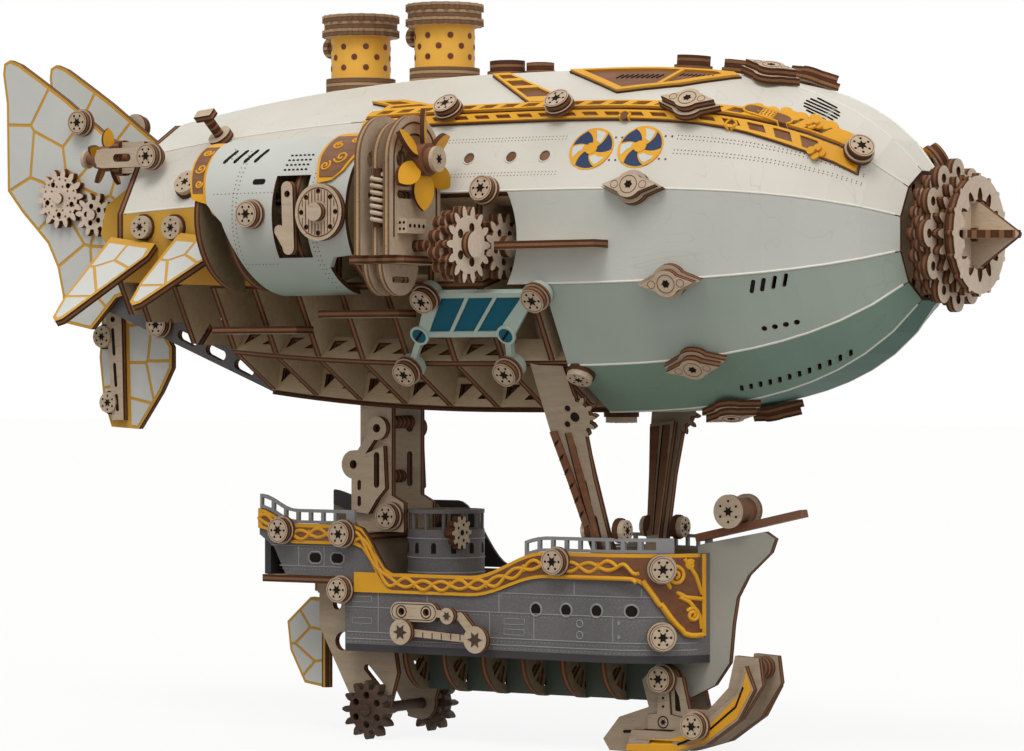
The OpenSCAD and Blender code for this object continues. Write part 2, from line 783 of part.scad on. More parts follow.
// Rear edge of the cover from top to bottom, then its front edge with a notch
cover_rear = [[-51, 24], [-48.5, 12], [-46, 3], [-41, -2], [-38, -10], [-34, -24]];
cover_front = [[-9.5, -24], [-9.5, -14], [-7, -11.5], [-1, -11], [-1, 24]];
function from_nacelle(points) = [for (p = points) [p[0], nacelle_z + p[1]]];
exhaust_x = -24.5;
module nacelle_covers() {
    color(white) pair() intersection() {
        difference() {
            sleeve(-66, 0, nacelle_r, nacelle_r - cover_wall);
            from_side() translate([0, nacelle_z]) {
                translate([exhaust_x, -11.5]) square([11, 21.5]);
                for (i = [0 : 3]) slot_2d(-44 + 3.4 * i, 14.5, -42.6 + 3.4 * i, 17, 1.2);
            }
        }
        from_side() polygon(from_nacelle(concat(cover_rear, cover_front)));
    }
}
former_xs = [-50, -40, -28, -18, -2];
former_r = nacelle_r - cover_wall - seat_gap;
module nacelle_formers() {
    color(ply_color) pair() for (x = former_xs) sheet_x(x) difference() {
        nacelle_2d(former_r, 0);
        translate([0, axis_z]) dodecagon_2d(env(x + ply / 2) + veneer + 2 * seat_gap);
        translate([-nacelle_y - 12, nacelle_z + 4]) circle(r = 4);
    }
}
module nacelle_trim() {
    cover_out = nacelle_r + seat_gap;
    cover_in = nacelle_r - cover_wall;
    rear_edge = [for (i = [0 : 2]) [cover_rear[i][0] - 3 * seat_gap, nacelle_z + cover_rear[i][1]]];
    color(gold) pair() {
        // scroll plate on the front edge of the cover
        intersection() {
            sleeve(-15, -1, cover_out + overlay, cover_out);
            from_side() difference() {
                polygon(from_nacelle([
                    [-14, 29], [-13, 15], [-10.4, 7.6], [-6, 8.4], [-3, 11], [-1, 15.4], [-1, 29]
                ]));
                translate([0, nacelle_z]) {
                    slot_2d(-9.6, 13.5, -8, 10, 1.5);
                    slot_2d(-5.2, 16.4, -3.6, 13.6, 1.3);
                }
            }
        }
        // scroll plate behind the cover, on the rear former
        intersection() {
            sleeve(-66, -44, cover_in + overlay, cover_in);
            from_side() difference() {
                polygon(concat(rear_edge, from_nacelle([[-51.6, 4.4], [-54.4, 12], [-57.6, 24]])));
                translate([0, nacelle_z]) slot_2d(-52.4, 15, -50.4, 9, 1.3);
            }
        }
    }
}
arch_count = 3;
arch_xs = [for (i = [0 : arch_count - 1]) arch_x0 + i * arch_step];
module arch_2d(r) {
    difference() {
        union() {
            translate([-prop_y, prop_z]) circle(r = r);
            translate([-prop_y - r, catwalk_z + seat_gap]) square([2 * r, prop_z - catwalk_z]);
        }
        translate([0, axis_z]) dodecagon_2d(skin + 2 * seat_gap);
        translate([-prop_y, prop_z]) circle(r = dowel_r + run_gap);
        translate([-drive_y, gear_z]) circle(r = dowel_r + run_gap);
        for (s = [-1, 1]) translate([-prop_y + s * r * 0.55, prop_z]) circle(r = 2.2);
        slot_2d(-prop_y - 7, prop_z - 9, -prop_y + 3, prop_z - 9, 2.2);
    }
}
module engine_arches() {
    color(ply_color) pair() {
        for (i = [0 : arch_count - 1]) sheet_x(arch_xs[i]) arch_2d(arch_r - (i % 2) * 1.5);
        // half-round belly below the catwalk
        for (i = [0, 1]) sheet_x(arch_xs[i]) difference() {
            translate([-prop_y, catwalk_z - ply - seat_gap]) circle(r = 8);
            translate([-prop_y - 20, catwalk_z - ply - seat_gap]) square([40, 20]);
            slot_2d(-prop_y - 3, catwalk_z - 6, -prop_y + 3, catwalk_z - 6, 1.6);
        }
    }
}
plank_w = 9;
long_plank = [37, 67];
long_plank_w = 6;
// Lower planks: rear end, front end and underside
lower_planks = [[-58, -30, 110], [-20, 6, 114]];
// Edge of the lower facet's bulkheads at station x and height z
function lower_edge(x, z) = (env(x) + seat_gap - (axis_z - z) * cos(2 * facet)) / sin(2 * facet);
module catwalks() {
    color(ply_color) pair() {
        sheet_z(catwalk_z - ply) {
            translate([arch_xs[0] - 5, -catwalk_y])
                square([arch_xs[2] - arch_xs[0] + 8, catwalk_y - env_r - seat_gap]);
        }
        // long narrow plank against the side panel, ahead of the gears
        sheet_z(gear_z - ply / 2) polygon(concat(
            [[long_plank[1], -skin - long_plank_w], [long_plank[0], -skin - long_plank_w]],
            [for (x = stations(long_plank[0], long_plank[1])) [x, -env(x) - veneer - seat_gap]]
        ));
        // planks on the edges of the open bay's bulkheads
        for (p = lower_planks) sheet_z(p[2]) polygon(concat(
            [for (x = stations(p[0], p[1])) [x, -lower_edge(x, p[2] + ply)]],
            [[p[1], -lower_edge(p[1], p[2]) - plank_w], [p[0], -lower_edge(p[1], p[2]) - plank_w]]
        ));
    }
}
post_x = -66;
module nacelle_fittings() {
    grille_y = nacelle_y + nacelle_r + seat_gap;
    lever_y = nacelle_y + former_r + seat_gap;
    color(ply_color) pair() {
        // round grille on the front of the cover
        translate([former_xs[4] - 6, -grille_y, nacelle_z]) rotate([90, 0, 0]) {
            linear_extrude(ply) difference() {
                circle(r = 7.4);
                ring_holes_2d(8, 5.4, 0.7);
                circle(r = 0.9);
            }
            translate([0, 0, ply]) cylinder(r = 2.4, h = ply);
        }
        // hook lever on the former in the exhaust cut-out
        sheet_y(-lever_y - ply / 2) translate([exhaust_x, nacelle_z]) difference() {
            union() {
                slot_2d(6, -9, 5.5, 6.5, 3.6);
                slot_2d(6, -9, 3, -4.5, 3);
            }
            translate([5.6, 5]) circle(r = 0.9);
        }
        // short signal post on the shoulder
        on_ridge(45) translate([post_x, 0, (env(post_x) + veneer) / cos(half_facet) + 2 * seat_gap])
            rotate([0, -env_slope(post_x), 0]) {
            cylinder(r = 3.4, h = ply);
            translate([0, 0, ply]) cylinder(r = 1.4, h = 6);
            translate([-3, -1.4, ply + 6]) cube([6, 2.8, ply]);
        }
    }
}

module leaf_2d(length, w) {
    intersection() {
        translate([length / 2, w]) circle(r = norm([length / 2, w]) * 1.02);
        translate([length / 2, -w]) circle(r = norm([length / 2, w]) * 1.02);
    }
}
// Propeller along X at the origin: hub face at x = 0, shaft to the rear
module propeller(r, hub_r, blades, shaft_len) {
    translate([-4, 0, 0]) rotate([0, 90, 0]) cylinder(r = hub_r, h = 4);
    rotate([0, 90, 0]) cylinder(r = hub_r * 0.75, h = 2);
    translate([-shaft_len, 0, 0]) rotate([0, 90, 0]) cylinder(r = dowel_r, h = shaft_len);
    for (i = [0 : blades - 1]) rotate([360 * i / blades, 0, 0])
        translate([-2, 0, hub_r * 0.6]) rotate([0, -90, 0]) rotate([28, 0, 0])
        translate([0, 0, -0.6]) linear_extrude(1.2) leaf_2d(r - hub_r * 0.6, r * 0.28);
}
module main_propeller() {
    color(gold) translate([prop_x, -prop_y, prop_z])
        propeller(prop_r, 4.2, prop_blades, prop_x - arch_xs[0] + ply);
}
module propeller_starboard() {
    main_propeller();
}
module propeller_port() {
    mirror([0, 1, 0]) main_propeller();
}
// Drive gear with its lobed wheel and shaft
module drive_gear() {
    color(ply_color) {
        translate([0, -drive_y, gear_z]) {
            sheet_x(gear_x, gear_t) difference() {
                gear_2d(drive_teeth, gear_m, dowel_r - 0.1);
                ring_holes_2d(5, 4.6, 1.2);
            }
            sheet_x(gear_x - gear_t / 2 - ply / 2 - 1, ply + 2) difference() {
                lobes_2d(11, gear_m * drive_teeth / 2, 1.5);
                circle(r = dowel_r - 0.1);
            }
            sheet_x(gear_x + gear_t / 2 + ply / 2) difference() {
                circle(r = cap_r);
                circle(r = dowel_r - 0.1);
            }
        }
        rod_x(arch_xs[1] - ply, gear_x + gear_t / 2 + ply, -drive_y, gear_z, dowel_r);
    }
}
// The idler stands with a gap towards the drive gear's tooth
module idler_gear() {
    color(ply_color) {
        translate([0, -idler_y, gear_z]) {
            sheet_x(gear_x, gear_t) rotate(180 + 180 / idler_teeth) difference() {
                gear_2d(idler_teeth, gear_m, dowel_r - 0.1);
                ring_holes_2d(5, 4, 1);
            }
            sheet_x(gear_x + gear_t / 2 + ply / 2) difference() {
                circle(r = cap_r - 0.6);
                circle(r = dowel_r - 0.1);
            }
        }
        rod_x(gear_ring_x - 3, gear_x + gear_t / 2 + ply, -idler_y, gear_z, dowel_r);
    }
}
module drive_gear_starboard() {
    drive_gear();
}
module drive_gear_port() {
    mirror([0, 1, 0]) drive_gear();
}
module idler_gear_starboard() {
    idler_gear();
}
module idler_gear_port() {
    mirror([0, 1, 0]) idler_gear();
}

// Window on the lower facet of the open bay, drawn in the facet's own plane
window_top = [13, 47, 0.86 * half_side];
window_foot_xs = [0, 31.5];
window_foot_y = -0.97 * half_side;
window_sill = [7, 34, -0.1 * half_side];
window_bar = 1.6;
pane_top = [16.4, 42.4, window_top[2] - 0.6];
pane_low = [9.4, 32, window_sill[2] + 0.8];
pane_count = 3;
function pane_x(edge, i) = edge[0] + (edge[1] - edge[0]) * i / pane_count;
module pane_2d(i, inset) {
    mullion = 0.6 + 2 * inset;
    polygon([
        [pane_x(pane_top, i) + mullion, pane_top[2] - inset],
        [pane_x(pane_top, i + 1) - mullion, pane_top[2] - inset],
        [pane_x(pane_low, i + 1) - mullion, pane_low[2] + inset],
        [pane_x(pane_low, i) + mullion, pane_low[2] + inset]
    ]);
}
module window_bars_2d() {
    difference() {
        polygon([
            [window_top[0], window_top[2] + window_bar / 2], [window_top[1], window_top[2] + window_bar / 2],
            [window_sill[1] + window_bar, window_sill[2] - window_bar / 2],
            [window_sill[0] - window_bar, window_sill[2] - window_bar / 2]
        ]);
        for (i = [0 : pane_count - 1]) pane_2d(i, 0);
    }
    for (i = [0, 1]) {
        slot_2d(window_sill[i], window_sill[2], window_foot_xs[i], window_foot_y, window_bar);
        translate([window_sill[i], window_sill[2]]) circle(r = 1.7);
    }
}
window_lift = env_r + veneer + seat_gap;
window_caps = [
    [window_top[0], window_top[2]], [window_top[1], window_top[2]],
    [window_foot_xs[0], window_foot_y], [window_foot_xs[1], window_foot_y]
];
module window_frames() {
    color([0.80, 0.88, 0.85]) pair() on_facet(4) {
        translate([0, 0, window_lift]) linear_extrude(ply) difference() {
            union() {
                window_bars_2d();
                translate([window_top[1], window_top[2]]) circle(r = cap_r);
            }
            for (i = [0, 1]) translate([window_sill[i], window_sill[2]]) circle(r = 0.8);
        }
        // feet and corner that reach in to the bulkheads
        for (x = window_foot_xs) translate([x, window_foot_y, env_r + seat_gap])
            cylinder(r = cap_r, h = ply + veneer);
        translate([window_top[0], window_top[2], env_r + seat_gap]) cylinder(r = cap_r, h = ply + veneer);
    }
}
module window_panes() {
    color([0.10, 0.45, 0.55]) pair() on_facet(4) translate([0, 0, window_lift + ply / 4])
        linear_extrude(ply / 2) for (i = [0 : pane_count - 1]) pane_2d(i, seat_gap / 2);
}

fin_points = [
    [-98.4, 150], [-112, 161], [-124, 169.3], [-136.5, 178.3], [-146, 184.4], [-153.7, 189.2],
    [-157.4, 190.6], [-159.6, 189.6], [-160, 186.6], [-158.6, 178], [-158.2, 152.5],
    [-152.6, 146], [-143.2, 137], [-139.5, 130], [-137.6, 122], [-137, 114], [-127, 112],
    [-118, 121], [-98.4, 126]
];
module fin_bores_2d(clearance) {
    translate([tail_gear_x, tail_gear_z]) circle(r = dowel_r + clearance);
    translate([tail_pinion_x, tail_pinion_z]) circle(r = dowel_r + clearance);
}
module tail_fins() {
    color(white) pair() sheet_y(-fin_y) difference() {
        polygon(fin_points);
        fin_bores_2d(run_gap);
    }
}
tail_board_x = -47;
module tail_cheeks() {
    rear_x = -117;
    front_x = tail_face_x - ply - seat_gap;
    color(gold) pair() {
        // boards over the side bay behind the nacelle
        on_facet(3) panel(env_tail_x, tail_board_x);
        sheet_y(-cheek_y) polygon([
            [front_x, 131], [front_x, 153], [rear_x + 8, 152], [rear_x, 147],
            [rear_x - 2, 139], [rear_x + 3, 131]
        ]);
        // rollers between the cheek and the fin, and on the cheek
        for (p = [[-112, 148], [-104, 135]])
            rod_y(p[0], -cheek_y + ply / 2, -fin_y - ply / 2 - seat_gap, p[1], 2.2);
        rod_y(-107, -cheek_y - ply / 2 - 7, -cheek_y - ply / 2, 133.4, 3.4);
    }
}
// Distance of the tail planes' tips from the middle plane, and their chord at the root
plane_tip = 61;
plane_chord = 17.4;
// Tail planes: station of the middle of the root, and height over the axis at the middle plane
planes = [[-90.4, 35], [-63.6, 39]];
function plane_root(x) = (max(env(x), env_tail_r) + veneer + 2 * seat_gap) / cos(droop);
module tail_plane_2d(x) {
    tip = plane_tip / cos(droop);
    half = plane_chord / 2;
    polygon([
        [half, plane_root(x + half)], [-half, plane_root(x - half)], [-half - 1.6, tip - 9],
        [-half - 0.8, tip - 1.6], [-half + 1, tip], [-half + 3, tip - 1], [half, plane_root(x + half) + 5]
    ]);
}
module tail_planes() {
    color(white) pair() for (p = planes) translate([p[0], 0, axis_z + p[1]]) mirror([0, 1, 0])
        rotate([-droop, 0, 0]) linear_extrude(ply) tail_plane_2d(p[0]);
}
boom_h = 9;
module tail_booms() {
    x0 = bay_rear_x - ply / 2 - seat_gap;
    x1 = -128;
    color(slate) pair() sheet_y(-boom_y) difference() {
        polygon([
            [x0, boom_top(x0)], [x1, boom_top(x1)], [x1 - 4, boom_top(x1) - boom_h / 2],
            [x1, boom_top(x1) - boom_h], [x0, boom_top(x0) - boom_h + 2]
        ]);
        for (i = [0 : 3]) let (x = x0 - 9 - i * 10)
            slot_2d(x, boom_top(x) - 4.5, x - 4, boom_top(x - 4) - 4.5, 3);
    }
}
module ventral_fin() {
    color(white) difference() {
        union() {
            sheet_y(0) union() {
                polygon([
                    [-131, 122], [-132.5, 104], [-131, 92], [-128, 84], [-118, 83.4], [-110, 94],
                    [-106, 101], [-106, 107], [-113, 117], [-121, 124]
                ]);
            }
            // post and spacer rollers against the booms
            pair() sheet_y(ply) polygon([[-129, 122], [-123, 122], [-122, 86], [-126, 86]]);
        }
        rod_y(-126, -20, 20, 115, 0.8);
    }
    color(ply_color) pair() rod_y(-116, ply / 2, boom_y - ply / 2 - seat_gap, 116, 2.4);
}
fork_x = -108;
// Slotted arm beside each fork, with a cap at its front end
arm_y = 31.4;
arm_z = tail_prop_z - 0.6;
arm_cap = [-88, arm_z];
module tail_forks() {
    color(ply_color) pair() difference() {
        union() {
            sheet_x(fork_x + ply / 2) union() {
                translate([-tail_prop_y, tail_prop_z]) circle(r = 5);
                translate([-arm_y - ply / 2, arm_z - 2.4]) square([arm_y - tail_prop_y, 4.8]);
            }
            for (z = [-4.4, 2.4]) translate([fork_x + ply, -tail_prop_y - 1.5, tail_prop_z + z])
                cube([tail_face_x - ply - seat_gap - fork_x - ply, 3, 2]);
            sheet_y(-arm_y) difference() {
                slot_2d(fork_x + ply, arm_z, arm_cap[0], arm_z, 5.4);
                slot_2d(fork_x + 7, arm_z, fork_x + 11, arm_z, 2.2);
            }
        }
        rod_x(fork_x - 1, fork_x + ply + 1, -tail_prop_y, tail_prop_z, dowel_r + run_gap);
    }
}
module tail_propeller() {
    color(gold) translate([fork_x - 0.4, -tail_prop_y, tail_prop_z]) mirror([1, 0, 0]) {
        translate([6, 0, 0]) propeller(tail_prop_r, 3.6, 5, 6 + ply + 2);
        translate([8, 0, 0]) rotate([0, 90, 0]) cylinder(r = dowel_r, h = 3);
    }
}
module tail_propeller_starboard() {
    tail_propeller();
}
module tail_propeller_port() {
    mirror([0, 1, 0]) tail_propeller();
}
module tail_wheel(teeth, x, z, phase) {
    y = -fin_y - ply / 2 - 0.4 - ply / 2;
    color(ply_color) {
        translate([x, y + ply / 2, z]) rotate([90, 0, 0]) linear_extrude(ply) rotate(phase)
            difference() {
                gear_2d(teeth, tail_m, dowel_r - 0.1);
                ring_holes_2d(5, tail_m * teeth / 2 - 3, 0.8);
            }
        rod_y(x, y - ply / 2 - 1, -fin_y + ply / 2 + 1, z, dowel_r);
    }
}
module tail_gear_starboard() {
    tail_wheel(tail_teeth, tail_gear_x, tail_gear_z, -22);
}
module tail_gear_port() {
    mirror([0, 1, 0]) tail_gear_starboard();
}
module tail_pinion_starboard() {
    tail_wheel(tail_pinion_teeth, tail_pinion_x, tail_pinion_z, 180 - 22 + 180 / tail_pinion_teeth);
}
module tail_pinion_port() {
    mirror([0, 1, 0]) tail_pinion_starboard();
}

strut_y = 7;
stern_deck_z = 56;
// Ring bosses of the rear strut: x, z and radius, and the cap on its foot
strut_bosses = [[-36, 74.4, 3.9], [-28.2, 84.4, 3.2]];
strut_cap = [-24.4, 60.4];
module strut_bosses_2d() {
    for (b = strut_bosses) translate([b[0], b[1]]) circle(r = b[2]);
}
module strut_bores_2d() {
    for (b = strut_bosses) translate([b[0], b[1]]) circle(r = 1.2);
    slot_2d(-28.2, 69, -28.2, 77, 1.8);
    for (z = [63.6, 68]) slot_2d(-34, z, -34, z + 1.6, 1.2);
}
module rear_strut() {
    foot = stern_deck_z + seat_gap;
    top = [for (x = stations(-35, -24.6)) [x, axis_z - env(x) - veneer - seat_gap]];
    color(ply_color) pair() {
        sheet_y(-strut_y) difference() {
            union() {
                polygon(concat(top, [
                    [-24.6, 66], [-20.6, 64], [-20.6, foot], [-35, foot], [-37.4, 61], [-37.4, 72], [-35, 76]
                ]));
                strut_bosses_2d();
            }
            strut_bores_2d();
        }
        // outer link plate that joins the bosses
        sheet_y(-strut_y - ply) difference() {
            union() {
                strut_bosses_2d();
                slot_2d(-36, 74.4, -28.2, 84.4, 2.6);
                polygon([
                    [-33, 77], [-26, 79.6], [-25.4, 68], [-28.4, 64.8], [-31, 61], [-36.6, 61.6], [-36.6, 72]
                ]);
            }
            strut_bores_2d();
        }
    }
    color(ply_color) for (p = [[-31, 71], [-28.2, 86]])
        rod_y(p[0], -strut_y + ply / 2, strut_y - ply / 2, p[1], 1.8);
}
front_lean = 19.7;
front_rake = -7;
front_foot = [48, 10.6];
strut_len = 66;
module front_strut_2d() {
    difference() {
        union() {
            polygon([
                [-3.6, 0], [4, 0], [3, 10], [4, 30], [5.6, 44], [4.6, strut_len], [-4.6, strut_len],
                [-4.6, 44], [-3.6, 30], [-2.6, 10]
            ]);
            translate([4, 47]) rotate(20) gear_2d(12, 0.9, 0.5);
        }
        for (z = [14, 24, 34]) slot_2d(0.4, z, 0.8, z + 5, 1.8);
    }
}
module front_struts() {
    color(ply_color) pair() difference() {
        translate([front_foot[0], -front_foot[1], deck_z]) rotate([front_lean, front_rake, 0]) {
            sheet_y(0) front_strut_2d();
            sheet_y(ply) polygon([
                [-2.6, 3], [2.6, 3], [2, 12], [3, 30], [4, 44], [-3.6, 44], [-2.6, 30], [-1.8, 12]
            ]);
            for (y = [-ply, ply]) translate([0, 0, 5]) sheet_y(y) circle(r = 4);
        }
        sheet_x(front_foot[0], 4 * strut_len) {
            translate([0, axis_z]) dodecagon_2d(env_r + 2 * seat_gap);
            translate([-skin, deck_z + seat_gap - skin]) square([2 * skin, skin]);
        }
    }
}

// Gondola plan: straight sides that close to the stem on two arcs
module hull_plan_2d(inset) {
    translate([stern_x + inset, -hull_half + inset])
        square([bow_x - stern_x - inset, 2 * (hull_half - inset)]);
    intersection() {
        translate([bow_x, bow_arc_r - hull_half]) circle(r = bow_arc_r - inset, $fn = 96);
        translate([bow_x, hull_half - bow_arc_r]) circle(r = bow_arc_r - inset, $fn = 96);
        translate([bow_x - 1, -2 * hull_half]) square([bow_len + 1 - 1.4 * inset, 4 * hull_half]);
    }
}
hull_end_x = bow_x + bow_len;
// Rear end of the lower hull, under the stern counter
hull_rear_x = -33;
module side_profile_2d() {
    polygon(concat(
        [for (x = [stern_x : 2.5 : hull_end_x]) [x, sheer(x)]],
        [[hull_end_x, bow_top], [hull_end_x, hull_low], [hull_rear_x, hull_low]],
        [[hull_rear_x, counter_z + ply + seat_gap], [stern_x + 9, counter_z + ply + seat_gap]],
        [[stern_x + 5, stern_deck_z - 4.4], [stern_x, stern_deck_z - 1]]
    ));
}
module hull_shell(out, inner) {
    linear_extrude(70) difference() {
        hull_plan_2d(out);
        hull_plan_2d(inner);
    }
}
hull_ports = [[-43, 49], [-35, 49], [28.6, 37.2], [38, 37.3], [47.4, 37.4], [57, 37.5]];
module hull_sides() {
    color(slate) intersection() {
        difference() {
            hull_shell(0, hull_wall);
            // the stern and the stem slot stay open
            translate([stern_x - 1, -hull_half + hull_wall + 0.01, 0])
                cube([hull_wall + 2, 2 * (hull_half - hull_wall - 0.01), 70]);
            translate([hull_end_x - 8, -ply / 2 - seat_gap, 0]) cube([20, ply + 2 * seat_gap, 70]);
        }
        sheet_y(0, 3 * hull_half) difference() {
            side_profile_2d();
            for (p = hull_ports) translate(p) circle(r = 1.2);
        }
    }
}
module hull_trim() {
    xs = [for (x = [stern_x : 2.5 : hull_end_x]) x];
    n = len(xs) - 1;
    color(gold) intersection() {
        difference() {
            hull_shell(-overlay - seat_gap, -seat_gap);
            translate([stern_x - 5, -hull_half + hull_wall, 0])
                cube([5 + seat_gap, 2 * (hull_half - hull_wall), 70]);
            translate([hull_end_x - 5, -ply / 2 - seat_gap, 0]) cube([20, ply + 2 * seat_gap, 70]);
        }
        sheet_y(0, 3 * hull_half) difference() {
            union() {
                polygon(concat(
                    [for (x = xs) [x, sheer(x)]],
                    [for (i = [n : -1 : 0]) [xs[i], band_low(xs[i])]]
                ));
                // the waist band runs on below the break of the deck
                translate([hull_rear_x + 3.4, band_low(0)]) square([20, sheer(0) - band_low(0)]);
            }
            for (i = [0 : 15]) let (x = stern_x + 5 + i * 8.2)
                translate([x, (sheer(x) + band_low(x)) / 2])
                rotate(atan((sheer(x + 2) - sheer(x - 2)) / 4))
                intersection() {
                    translate([0, 3.2]) circle(r = 4.4);
                    translate([0, -3.2]) circle(r = 4.4);
                }
        }
    }
}
bottom_z = hull_low - ply;
break_x = hull_rear_x - 0.8;
deck_clear = hull_wall + seat_gap;
module stem_slot() {
    translate([54, -ply / 2 - seat_gap, 0]) cube([50, ply + 2 * seat_gap, 70]);
}
module plan_between(x0, x1, inset) {
    intersection() {
        hull_plan_2d(inset);
        translate([x0, -2 * hull_half]) square([x1 - x0, 4 * hull_half]);
    }
}
module cross_board(x, z0, z1) {
    translate([x, -hull_half + deck_clear, z0]) cube([ply, 2 * (hull_half - deck_clear), z1 - z0]);
}
module decks() {
    color(ply_color) {
        sheet_z(stern_deck_z - ply) plan_between(stern_x + 1 + ply + seat_gap, -29, deck_clear);
        difference() {
            union() {
                sheet_z(deck_z - ply) plan_between(break_x + ply + seat_gap, hull_end_x - 6, deck_clear);
                sheet_z(bottom_z) plan_between(hull_rear_x, hull_end_x, 0);
            }
            stem_slot();
        }
        // stern counter, transom and the board at the break of the deck
        sheet_z(counter_z) translate([stern_x + 1, -hull_half])
            square([break_x - seat_gap - stern_x - 1, 2 * hull_half]);
        cross_board(stern_x + 1, counter_z + ply + seat_gap, stern_deck_z + 1);
        cross_board(break_x, hull_low + seat_gap, stern_deck_z - ply - seat_gap);
    }
}
// A railing on the sheer between two stations, with openings between its posts
rail_pitch = 4.2;
rail_bar = 0.9;
module railing_2d(x0, x1) {
    xs = concat([for (x = [x0 : 2.1 : x1 - 0.5]) x], [x1]);
    n = len(xs) - 1;
    difference() {
        polygon(concat(
            [for (x = xs) [x, sheer(x) + seat_gap]],
            [for (i = [n : -1 : 0]) [xs[i], sheer(xs[i]) + rail_h]]
        ));
        for (x = [x0 + 0.8 : rail_pitch : x1 - rail_pitch]) polygon([
            [x, sheer(x) + rail_bar], [x + rail_pitch - 1, sheer(x + rail_pitch - 1) + rail_bar],
            [x + rail_pitch - 1, sheer(x + rail_pitch - 1) + rail_h - rail_bar],
            [x, sheer(x) + rail_h - rail_bar]
        ]);
    }
}
module rails() {
    rail_in = 0.1;
    color(slate) intersection() {
        difference() {
            hull_shell(rail_in, rail_in + 1);
            translate([hull_end_x - 7, -10, 0]) cube([20, 20, 90]);
            translate([stern_x - 1, 2 * rail_in - hull_half + 1, 0])
                cube([3, 2 * (hull_half - 1 - 2 * rail_in), 90]);
        }
        sheet_y(0, 4 * hull_half) {
            railing_2d(stern_x, -30);
            railing_2d(25, hull_end_x - 5);
        }
    }
}
turret_x = -12;
turret_wall = 1.4;
turret_wall_h = 13;
turret_rail_h = 4.4;
module turret() {
    color(slate) translate([turret_x, 0, deck_z]) {
        difference() {
            cylinder(r = turret_r, h = turret_wall_h);
            translate([0, 0, ply]) cylinder(r = turret_r - turret_wall, h = turret_wall_h);
            for (i = [0 : 11]) rotate(30 * i + 15) translate([turret_r - 3, -0.6, 7]) cube([6, 1.2, 2.4]);
        }
        for (i = [0 : 11]) rotate(30 * i) translate([turret_r - turret_wall / 2, 0, turret_wall_h])
            cylinder(r = 0.5, h = turret_rail_h, $fn = 16);
        translate([0, 0, turret_wall_h + turret_rail_h]) difference() {
            cylinder(r = turret_r, h = 1);
            translate([0, 0, -1]) cylinder(r = turret_r - turret_wall - 0.2, h = 3);
        }
    }
}
rib_xs = [for (i = [0 : 5]) -18 + 12.6 * i];
module hull_ribs() {
    color(ply_color) for (x = rib_xs) sheet_x(x) difference() {
        translate([0, bottom_z - seat_gap]) circle(r = rib_r);
        translate([-20, bottom_z - seat_gap]) square([40, 20]);
        for (a = [-60, -30, 0, 30, 60]) translate([0, bottom_z]) rotate(-90 + a)
            polygon([[4, -0.5], [8.6, -1.7], [8.6, 1.7], [4, 0.5]]);
    }
}
skid_pivot = [60.8, 19.6];
module stem_plate() {
    color(ply_color) sheet_y(0) difference() {
        polygon([
            [55, deck_z - ply - seat_gap], [68, deck_z - ply - seat_gap], [68, 54.4], [71, 55.2],
            [88, 58.4], [91, 56.6], [89.6, 53], [83, 47], [79.6, 41], [78.4, 34], [77.4, 24], [73, 18],
            [66, 14.6], [56, 17], [55, bottom_z - seat_gap], [55, hull_low + seat_gap]
        ]);
        translate(skid_pivot) circle(r = 0.8);
    }
}
capstan_r = 3.4;
module bowsprit() {
    translate([68, 0, 55.4]) rotate([0, -12.5, 0]) {
        color(edge_color) translate([0, -2, 0]) cube([32, 4, ply]);
        // capstan that straddles the sprit
        color(ply_color) translate([13, 0, ply + seat_gap + capstan_r]) {
            rod_y(0, -4, 4, 0, capstan_r);
            for (y = [-5.2, 4]) rod_y(0, y, y + 1.2, 0, capstan_r + 1);
        }
    }
}
module pipework() {
    y = hull_half + seat_gap + ply / 2;
    color(ply_color) pair() {
        sheet_y(-y) difference() {
            union() {
                slot_2d(-14, 35.4, -4, 35.4, 5.2);
                slot_2d(-4, 35.4, 6, 34.6, 2);
                slot_2d(6, 34.6, 11.6, 28.6, 2.4);
                slot_2d(-13, 30, 11, 28.6, 2);
            }
            for (x = [-13, -5]) translate([x, 35.4]) circle(r = 1);
        }
        sheet_y(-y - ply) for (p = [[-12, 30, 3.4], [12, 28.8, 3.6], [3, 34.8, 2.2]])
            translate([p[0], p[1]]) difference() {
                circle(r = p[2]);
                circle(r = 0.8);
            }
    }
}
module skid_2d() {
    difference() {
        union() {
            polygon([
                [44, 0], [64, 0], [74, 3], [84, 10], [90, 19], [89, 26], [82, 26.4], [80, 18],
                [74, 12], [68, 12], [66, 20], [57, 22], [54, 19], [56, 12], [47, 9], [42, 3]
            ]);
            translate(skid_pivot) circle(r = 3.8);
        }
        translate(skid_pivot) circle(r = 0.8);
        slot_2d(55, 5, 66, 6, 2.4);
    }
}
module skids() {
    color(ply_color) pair() sheet_y(-skid_y) skid_2d();
    color(gold) pair() sheet_y(-skid_y - ply) difference() {
        polygon([
            [50, 0], [64, 0], [74, 3], [84, 10], [88.6, 18], [86, 24], [84, 17], [75, 10],
            [64, 6], [52, 6]
        ]);
        slot_2d(58, 3, 64, 3, 1.2);
    }
    color(ply_color) {
        rod_y(85.4, -skid_y + ply / 2, skid_y - ply / 2, 23, 3);
        pair() rod_y(skid_pivot[0], ply / 2 + seat_gap, skid_y - ply / 2, skid_pivot[1], 2.6);
        rod_y(50, -skid_y + ply / 2, skid_y - ply / 2, 5, 2);
    }
}
leg_y = 11;
rudder_x = -52;
post_h = 3;
post_z = counter_z - seat_gap - post_h;
